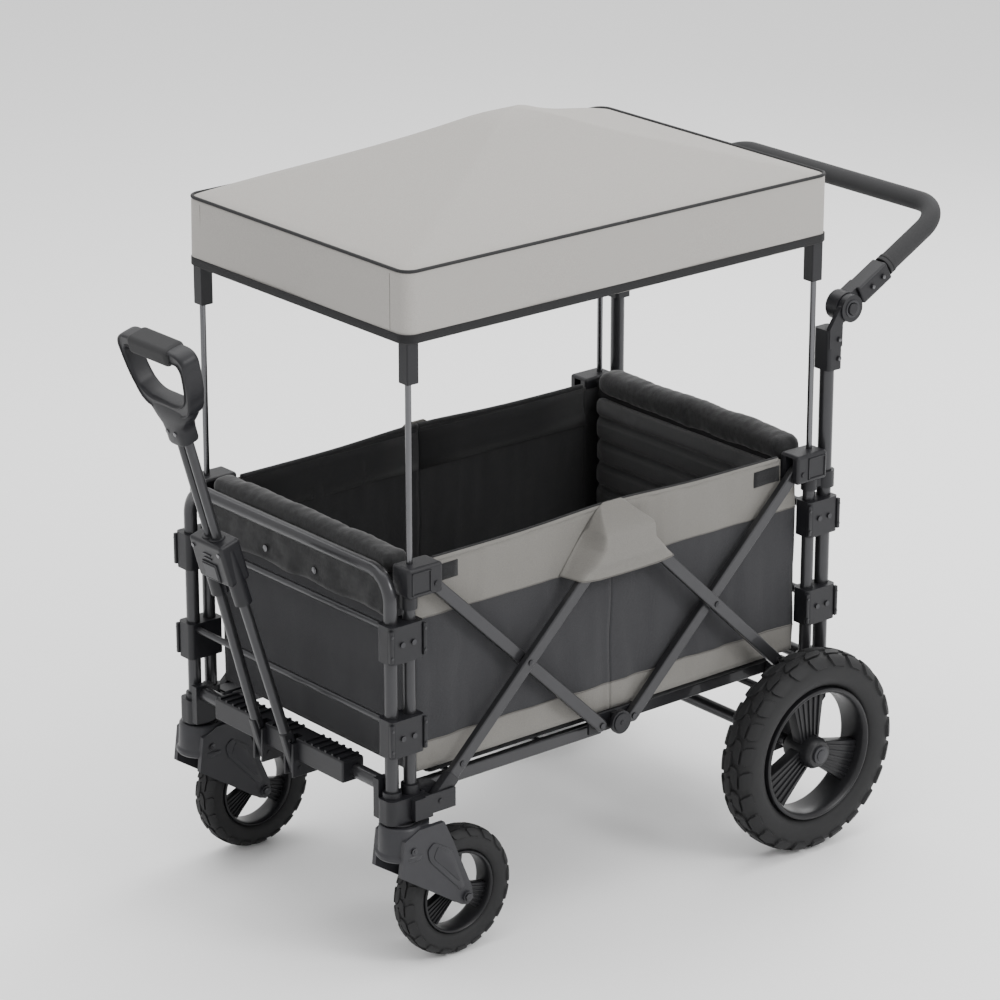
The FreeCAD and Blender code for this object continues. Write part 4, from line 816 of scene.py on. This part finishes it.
def tyre_piece(name, radius, rim, half, pitches, material, matrix, body):
    """A round carcass with two staggered rows of blocks on its crown and a row on each shoulder."""
    lug = 0.024 * radius
    middle = (radius - lug + rim) / 2
    high = (radius - lug - rim) / 2
    carcass_half = half - lug * 0.5
    ring = 40
    around = 120
    points = []
    for i in range(around):
        turn = math.tau * i / around
        for j in range(ring):
            w, r, _ = tyre_section(math.tau * j / ring, carcass_half, middle, high)
            points.append(wheel_point(w, r, turn))
    pieces = [(points, ring_faces(around, ring))]
    step = math.tau / pitches
    # first and second angle on the section, shift, fill and slant as shares of the pitch
    rows = (
        (90, 69, 0.00, 0.80, 0.30),
        (90, 111, 0.50, 0.80, 0.30),
        (64, 18, 0.32, 0.74, -0.16),
        (116, 162, 0.82, 0.74, -0.16),
    )
    for k in range(pitches):
        for first, second, shift, fill, slant in rows:
            start = (k + shift) * step
            pieces.append(block_mesh(first, second, start, fill * step, slant * step, carcass_half, middle,
                                     high, lug))
    points, faces = merge(pieces)
    obj = mesh_object(name, to_world(points, matrix), faces, material, "tyre_rubber")
    tidy_normals(obj)
    sharpen(obj, 32)
    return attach(obj, body)


def block_mesh(first, second, start, wide, slant, half, middle, high, lug):
    """One tread block: a raised patch with sloping sides."""
    rows, columns = 5, 4
    grids = []
    for inset, lift in ((0.0, -0.6), (0.10, lug)):
        grid = []
        for i in range(rows):
            along = inset / 2 + (1 - inset) * i / (rows - 1)
            turn = math.radians(first + (second - first) * along)
            w, r, normal = tyre_section(turn, half, middle, high)
            w += normal.x * lift
            r += normal.y * lift
            bite = 0.12 * wide * (1 if i in (0, rows - 1) else 0)
            for j in range(columns):
                share = inset / 2 + (1 - inset) * j / (columns - 1)
                edge = bite * (1 - 2 * share)
                grid.append(wheel_point(w, r, start + wide * share + edge + slant * along))
        grids.append(grid)
    points = grids[0] + grids[1]
    faces = grid_faces(rows, columns, offset=rows * columns)
    rim = [(i, 0) for i in range(rows)]
    rim += [(rows - 1, j) for j in range(1, columns)]
    rim += [(i, columns - 1) for i in range(rows - 2, -1, -1)]
    rim += [(0, j) for j in range(columns - 2, 0, -1)]
    loop = [i * columns + j for i, j in rim]
    for a, b in zip(loop, loop[1:] + loop[:1]):
        faces.append((a, b, b + rows * columns, a + rows * columns))
    return points, faces


def lathe_mesh(profile, sides=72):
    """Points and faces of a closed outline of (w, r) points turned about the wheel's axis."""
    points = []
    for i in range(sides):
        turn = math.tau * i / sides
        points += [wheel_point(w, r, turn) for w, r in profile]
    return points, ring_faces(sides, len(profile))


def prism_mesh(outline, low, high, turn):
    """A plate in the wheel's plane: outline of (out, across) points, between two places along the axis."""
    out = Vector((math.cos(turn), 0, math.sin(turn)))
    across = Vector((-math.sin(turn), 0, math.cos(turn)))
    points = []
    for w in (low, high):
        points += [out * a + across * b + Vector((0, w, 0)) for a, b in outline]
    return points, capped_faces(2, len(outline))


def rim_piece(name, rim, half, hub, hub_half, material, matrix, body):
    """A deep rim with a rolled lip, three broad ribbed spokes and a stepped hub."""
    wide = half - 5
    lip = 0.055 * rim
    barrel = [(-wide, rim + 1), (wide, rim + 1), (wide + 1.5, rim - lip * 0.5), (wide - 1, rim - lip),
              (wide - 6, rim - lip * 1.5), (-wide + 6, rim - lip * 1.5), (-wide + 1, rim - lip),
              (-wide - 1.5, rim - lip * 0.5)]
    pieces = [lathe_mesh(barrel)]
    plate = 0.30 * half
    root, waist, tip = 0.17 * rim, 0.24 * rim, 0.33 * rim
    rib = 0.016 * rim
    reach = rim - lip
    for turn in SPOKE_ANGLES:
        outline = [(hub * 0.6, -root), (reach * 0.55, -waist), (reach, -tip), (reach, tip),
                   (reach * 0.55, waist), (hub * 0.6, root)]
        pieces.append(prism_mesh(outline, -plate, plate, turn))
        for lane in range(-2, 3):
            inner = lane * 0.066 * rim
            outer = lane * 0.115 * rim
            rib_outline = [(hub * 0.9, inner - rib), (reach, outer - rib), (reach, outer + rib),
                           (hub * 0.9, inner + rib)]
            pieces.append(prism_mesh(rib_outline, -plate - 2.4, plate + 2.4, turn))
    outer = hub_half * 0.94
    bore = 4.5
    pieces.append(lathe_mesh([(-outer, bore), (-outer, hub * 0.8), (-outer * 0.7, hub), (outer * 0.7, hub),
                              (outer, hub * 0.86), (outer, hub * 0.62), (outer - 2, hub * 0.58),
                              (outer - 2, bore)]))
    return hard_piece(name, pieces, material, "rim_plastic", body, matrix=matrix, bevel=0.9)


def build_wheels():
    """Treads, rims and hub caps: hub radius, half its width, rim radius and tread pitches of each wheel."""
    plans = (("rear", 25, 31, 104, 24), ("front", 16, 23, 62, 20))
    for side_name, side in SIDES:
        for end_name, hub, hub_half, rim, pitches in plans:
            tyre_low, tyre_high = corners(f"{end_name}_tyre_{side_name}")
            centre = (tyre_low + tyre_high) / 2
            matrix = Matrix.Translation(spot(*centre))
            radius = (tyre_high.z - tyre_low.z) / 2
            half = (tyre_high.y - tyre_low.y) / 2
            body = f"{end_name}_wheel_{side_name}"
            tyre = tyre_piece(f"{end_name}_tread_{side_name}", radius, rim - 1, half, pitches,
                              MATERIALS["tyre_rubber"], matrix, body)
            wheel = rim_piece(f"{end_name}_spokes_{side_name}", rim, half, hub, hub_half,
                              MATERIALS["rim_plastic"], matrix, body)
            cap = [disc_mesh((0, side * (hub_half - 3), 0), (0, side, 0), hub * 0.56, 5, 40),
                   disc_mesh((0, side * (hub_half + 1.5), 0), (0, side, 0), hub * 0.36, 2.2, 32)]
            hard_piece(f"{end_name}_hub_cap_{side_name}", cap, HOUSING, "rim_plastic", body, matrix=matrix)
            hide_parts(f"{end_name}_tyre_{side_name}")
            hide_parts(f"{end_name}_rim_{side_name}")


# ---------------------------------------------------------------- handles

def leaning_frame(x, z, tilt):
    """The frame of a handle: its pivot, with local z along the handle."""
    return Matrix.Translation(spot(x, 0, z)) @ Matrix.Rotation(math.radians(tilt), 4, "Y")


PULL_FRAME = leaning_frame(x=-436, z=256, tilt=-16.4)
PUSH_X, PUSH_Z = 447, 826
PUSH_FRAME = leaning_frame(PUSH_X, PUSH_Z, tilt=61.7)
BRIGHT = MATERIALS["bright_steel"]
BLACK = MATERIALS["black_plastic"]


def closed_curve(knots, steps=8):
    """Smooth points through a closed run of knots."""
    points = []
    count = len(knots)
    for i in range(count):
        a, b, c, d = (Vector(knots[(i + k) % count]) for k in (-1, 0, 1, 2))
        for j in range(steps):
            t = j / steps
            points.append(0.5 * ((2 * b) + (c - a) * t + (2 * a - 5 * b + 4 * c - d) * t * t
                                 + (3 * b - a - 3 * c + d) * t * t * t))
    return points


def rounded(turn, across, deep, power=0.55):
    """A point of a rounded oblong section."""
    c, s = math.cos(turn), math.sin(turn)
    return across * math.copysign(abs(c) ** power, c), deep * math.copysign(abs(s) ** power, s)


def grip_mesh():
    """The D of the pull handle, with a groove along its front, and the neck below it."""
    half = ((0, 697), (46, 697), (65, 695), (71, 684), (69, 662), (62, 636), (50, 615), (32, 606))
    knots = list(half) + [(0, 605)] + [(-y, z) for y, z in reversed(half[1:])]
    path = closed_curve([(y, z, 0) for y, z in knots])
    sides = 28
    half_depth = 15.5
    groove = 2.6
    points = []
    count = len(path)
    for i, here in enumerate(path):
        heading = (path[(i + 1) % count] - path[i - 1]).normalized()
        inward = Vector((-heading.y, heading.x, 0))
        wide = 5.5 + 4.5 * smooth((here.y - 675) / 20) + 4.5 * smooth((630 - here.y) / 22)
        for j in range(sides):
            turn = math.tau * j / sides
            in_plane, deep = rounded(turn, wide, half_depth, 0.42)
            if deep < 2 - half_depth and abs(in_plane) < wide * 0.55:
                deep += groove
            place = here + inward * in_plane
            points.append(Vector((deep, place.x, place.y)))
    rings = ((546, 20, 15.5), (549, 21, 16.5), (566, 21.5, 16.8), (576, 24, 17), (587, 36, 17), (598, 47, 16),
             (606, 50, 13))
    neck = []
    for z, across, deep in rings:
        for j in range(sides):
            y, x = rounded(math.tau * j / sides, across, deep)
            neck.append(Vector((x, y, z)))
    return merge([(points, ring_faces(count, sides)), (neck, capped_faces(len(rings), sides))])


def screw(centre, axis, radius, height):
    """A small screw head in millimetres."""
    return disc_mesh(centre, axis, radius, height, 18)


def build_pull_handle():
    """The D-grip, its screws, and the trim of the block where the two tubes slide in."""
    points, faces = grip_mesh()
    grip = mesh_object("d_grip", to_world(points, PULL_FRAME), faces, BLACK, "black_plastic")
    tidy_normals(grip)
    sharpen(grip, 50)
    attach(grip, "pull_upper")
    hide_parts("pull_grip")
    screws = [screw((-15.5, y, 566), (-1, 0, 0), 3.6, 2.4) for y in (-9, 9)]
    hard_piece("grip_screws", screws, BRIGHT, "bright_steel", "pull_upper", PULL_FRAME, 0.5)
    block_screws = [screw((-17.5, y, 372), (-1, 0, 0), 3.4, 2.2) for y in (-30, 30)]
    block_screws += [screw((0, side * 40, z), (0, side, 0), 3.2, 3.7) for side in (-1, 1) for z in (20, 46)]
    hard_piece("pull_screws", block_screws, BRIGHT, "bright_steel", "pull_lower", PULL_FRAME, 0.5)
    front, back = -20.2, -17.6
    vents = [box_mesh((-19.6, -9, z), (-17, 9, z + 2.6)) for z in (357, 364)]
    vents += [box_mesh((front, y, 322.5), (back, y + 1.4, 351.5)) for y in (-17, 15.6)]
    vents += [box_mesh((front, -17, z), (back, 17, z + 1.6)) for z in (350, 322.4)]
    hard_piece("pull_block_trim", vents, HOUSING, "black_plastic", "pull_lower", PULL_FRAME, 0.5)
    collars = [disc_mesh((0, y, 384), (0, 0, 1), 11.5, 2.8, 28) for y in (-9.5, 9.5)]
    hard_piece("pull_block_collars", collars, BLACK, "black_plastic", "pull_lower", PULL_FRAME, 1.2)
    paint(frame["nodes"]["release_button"], HOUSING)


def build_push_handle():
    """Bright screws and the ring round each button of the push hinges, and collars on the grip."""
    for side_name, side in SIDES:
        out = (0, side, 0)
        lower = [screw((424, side * 257.4, z), out, 3.1, 1.6) for z in (752, 782)]
        hard_piece(f"sleeve_screws_{side_name}", lower, BRIGHT, "bright_steel", "rear_frame", bevel=0.5)
        upper = [screw((0, side * 255.9, reach), out, 3.1, 1.6) for reach in (52, 76)]
        hard_piece(f"arm_screws_{side_name}", upper, BRIGHT, "bright_steel", "push_handle", PUSH_FRAME, 0.5)
        ring = ring_mesh((PUSH_X, side * 258.6, PUSH_Z), side, 9.8, 13.5, 1.6)
        hard_piece(f"button_ring_{side_name}", [ring], HOUSING, "black_plastic", "rear_frame", bevel=0.4)
        collar = [disc_mesh((0, side * 238, reach), (0, 0, 1), 16.2, 5, 36) for reach in (94, 101)]
        hard_piece(f"grip_collar_{side_name}", collar, MATERIALS["foam_grip"], "foam_grip", "push_handle",
                   PUSH_FRAME, 1.0)


def ring_mesh(centre, side, inner, outer, depth, sides=40):
    """A flat ring on a side face."""
    profile = [(0, inner), (0, outer), (side * depth, outer), (side * depth, inner)]
    points, faces = lathe_mesh(profile, sides)
    return [p + Vector(centre) for p in points], faces


# ---------------------------------------------------------------- casters, bars and hubs

def lathe_to_z(profile, sides=48):
    """A closed outline of (height, radius) points turned about an upright axis."""
    points, faces = lathe_mesh(profile, sides)
    return [Vector((p.x, p.z, p.y)) for p in points], faces


def build_casters():
    """The cup round each caster's stem, the stepped cover plates of its fork and their bolts."""
    stem_x, stem_y, plate_out = -405, 243, 34
    cup = [(179, 24), (179, 34), (182, 36.5), (187, 36.5), (190, 33.4), (226, 31.6), (229.4, 29), (229.4, 24)]
    lower_plate = closed_outline([(-372, 200), (-340, 180), (-316, 118), (-322, 110), (-380, 172),
                                  (-384, 190)], 5)
    upper_plate = closed_outline([(-366, 193), (-344, 176), (-324, 124), (-374, 176)], 5)
    for side_name, side in SIDES:
        body = f"caster_{side_name}"
        shift = Vector((stem_x, side * stem_y, 0))
        points, faces = lathe_to_z(cup)
        points = [p + shift for p in points]
        hard_piece(f"caster_cup_{side_name}", [(points, faces)], HOUSING, "black_plastic", body, bevel=0.6)
        bosses = []
        bolts = []
        for face in (-1, 1):
            plane = side * stem_y + face * plate_out
            out = (0, face, 0)
            bosses.append(plate_mesh(lower_plate, plane, face * 1.8))
            bosses.append(plate_mesh(upper_plate, plane, face * 2.8))
            bolts.append(disc_mesh((-312, plane + face * 4, 98), out, 6.2, 2.6, 6))
            bolts.append(disc_mesh((-408, plane, 196), out, 5.2, 2.6, 20))
            bolts.append(disc_mesh((-408, plane + face * 2.5, 196), out, 2.6, 1.2, 6))
        hard_piece(f"caster_bosses_{side_name}", bosses, HOUSING, "black_plastic", body, bevel=0.9)
        hard_piece(f"caster_bolts_{side_name}", bolts, DARK_STEEL, "bright_steel", body, bevel=0.4)


def closed_outline(points, radius):
    """An outline with its corners cut round."""
    rounded_points = []
    count = len(points)
    for i in range(count):
        before, here, after = (Vector(points[(i + k) % count]) for k in (-1, 0, 1))
        first = here + (before - here).normalized() * radius
        last = here + (after - here).normalized() * radius
        for j in range(5):
            t = j / 4
            rounded_points.append(first * (1 - t) ** 2 + here * 2 * t * (1 - t) + last * t * t)
    return rounded_points


def plate_mesh(outline, y, depth):
    """A flat plate in an upright plane along x: outline of (x, z) points."""
    points = [Vector((p[0], place, p[1])) for place in (y, y + depth) for p in outline]
    return points, capped_faces(2, len(outline))


def build_bar_rivets():
    """Rivet heads on the bars, the plastic foot of bars b and c, and the cap of each bottom hub."""
    rise = math.radians(43.84)
    along_bar = Vector((math.cos(rise), 0, math.sin(rise)))
    across_bar = Vector((-math.sin(rise), 0, math.cos(rise)))
    foot = Vector((-352, 0, 256))
    foot_corners = [foot + along_bar * reach + across_bar * half
                    for reach, half in ((-9, -11.5), (42, -11.5), (42, 11.5), (-9, 11.5))]
    for letter, end in (("b", -1), ("c", 1)):
        outline = closed_outline([(-end * c.x, c.z) for c in foot_corners], 5)
        heads = []
        feet = []
        for side in (-1, 1):
            out = (0, side, 0)
            for reach in (62, 238):
                place = foot + along_bar * reach
                heads.append(disc_mesh((-end * place.x, side * 263, place.z), out, 4.6, 1.8, 24))
                heads.append(disc_mesh((-end * place.x, side * 264.6, place.z), out, 2.4, 1.0, 18))
            feet.append(plate_mesh(outline, side * 250.2, side * 13.8))
        hard_piece(f"rivets_{letter}", heads, DARK_STEEL, "bright_steel", f"bar_{letter}", bevel=0.6)
        hard_piece(f"bar_foot_{letter}", feet, BLACK, "black_plastic", f"bar_{letter}", bevel=0.8)
    low, high = corners("bottom_hubs")
    hub_z = (low.z + high.z) / 2
    for letter, end in (("a", -1), ("d", 1)):
        heads = [disc_mesh((end * 31, side * 249, hub_z), (0, side, 0), 5.0, 2.2, 24) for side in (-1, 1)]
        hard_piece(f"rivets_{letter}", heads, DARK_STEEL, "bright_steel", f"bar_{letter}", bevel=0.6)
    for side_name, side in SIDES:
        cover = [disc_mesh((0, side * 255.8, hub_z), (0, side, 0), 14.5, 2.2, 44),
                 disc_mesh((0, side * 257.8, hub_z), (0, side, 0), 4.0, 1.4, 24)]
        hard_piece(f"bottom_hub_cover_{side_name}", cover, BLACK, "black_plastic", "hub_bottom", bevel=0.7)


def box_between(xs, ys, zs):
    """A box from two places on each axis, given in any order."""
    return box_mesh(*zip(*(sorted(pair) for pair in (xs, ys, zs))))


def build_bracket_trims():
    """A raised frame on the outer face of each top bracket, and the flanges and bolts of the clamps."""
    frame_low, frame_high, frame_line = 575, 609, 2
    clamp_feet = (336, 478)
    flange_faces = (254, 260)
    for end_name, end in ENDS:
        frames = []
        flanges = []
        bolts = []
        for side in (-1, 1):
            ys = (side * 261.4, side * 263.4)
            for z in (frame_low, frame_high - frame_line):
                frames.append(box_between((end * 362, end * 396), ys, (z, z + frame_line)))
            for x in (362, 394):
                frames.append(box_between((end * x, end * (x + frame_line)), ys, (frame_low, frame_high)))
            for foot in clamp_feet:
                for x in (368, 427):
                    flanges.append(box_between((end * x, end * (x + 6)), [side * y for y in flange_faces],
                                               (foot + 4, foot + 52)))
                    for z in (foot + 12, foot + 44):
                        bolts.append(disc_mesh((end * (x + 3), side * 260, z), (0, side, 0), 2.2, 1.2, 16))
        post, frame_body = f"post_{end_name}", f"{end_name}_frame"
        hard_piece(f"{end_name}_bracket_frames", frames, BLACK, "black_plastic", post, bevel=0.5)
        hard_piece(f"{end_name}_clamp_flanges", flanges, BLACK, "black_plastic", frame_body, bevel=1.2)
        hard_piece(f"{end_name}_clamp_bolts", bolts, DARK_STEEL, "bright_steel", frame_body, bevel=0.4)


# ---------------------------------------------------------------- stage and camera

def build_stage():
    """A white floor just under the wheels, a white sky and three soft lamps."""
    reach, floor_z = 30, -0.0005
    white = new_material("stage_white", (0.94, 0.94, 0.94, 1), 0.6, mottle=0.0, depth=0)
    floor_corners = [Vector((x * reach, y * reach, floor_z)) for x, y in ((-1, -1), (1, -1), (1, 1), (-1, 1))]
    floor = mesh_object("stage_floor", floor_corners, [(0, 1, 2, 3)], white, None)
    world = bpy.data.worlds.new("studio")
    bpy.context.scene.world = world
    world.use_nodes = True
    world.node_tree.nodes["Background"].inputs["Color"].default_value = (1, 1, 1, 1)
    world.node_tree.nodes["Background"].inputs["Strength"].default_value = 1.15
    aim = Vector((0, 0, 0.5))
    # name, place and size in metres, power in watts
    lamps = (
        ("overhead", (0.3, 0.6, 3.8), 4.5, 150),
        ("key", (0.9, -3.6, 3.0), 1.5, 95),
        ("rim", (3.2, 1.2, 2.2), 1.4, 40),
    )
    for name, place, size, power in lamps:
        light = bpy.data.lights.new(name, "AREA")
        light.size = size
        light.energy = power
        lamp = bpy.data.objects.new(name, light)
        lamp.location = place
        lamp.rotation_euler = (aim - Vector(place)).to_track_quat("-Z", "Y").to_euler()
        bpy.context.scene.collection.objects.link(lamp)


def build_camera():
    """The viewing angle of the product picture: from the front left, twenty degrees above the floor."""
    azimuth = math.radians(39.631)
    elevation = math.radians(19.925)
    heading = Vector((math.sin(azimuth) * math.cos(elevation), math.cos(azimuth) * math.cos(elevation),
                      -math.sin(elevation)))
    data = bpy.data.cameras.new("camera")
    data.lens = 149.9
    data.sensor_width = 36
    camera = bpy.data.objects.new("camera", data)
    camera.location = (-3.7483, -4.4919, 2.6728)
    camera.rotation_euler = heading.to_track_quat("-Z", "Y").to_euler()
    bpy.context.scene.collection.objects.link(camera)
    bpy.context.scene.camera = camera


paint_cad()
build_canopy()
build_sides()
build_pouches()
build_end_walls()
build_rolls()
build_flap()
build_floor()
build_wheels()
build_pull_handle()
build_push_handle()
build_casters()
build_bar_rivets()
build_bracket_trims()
build_stage()
build_camera()
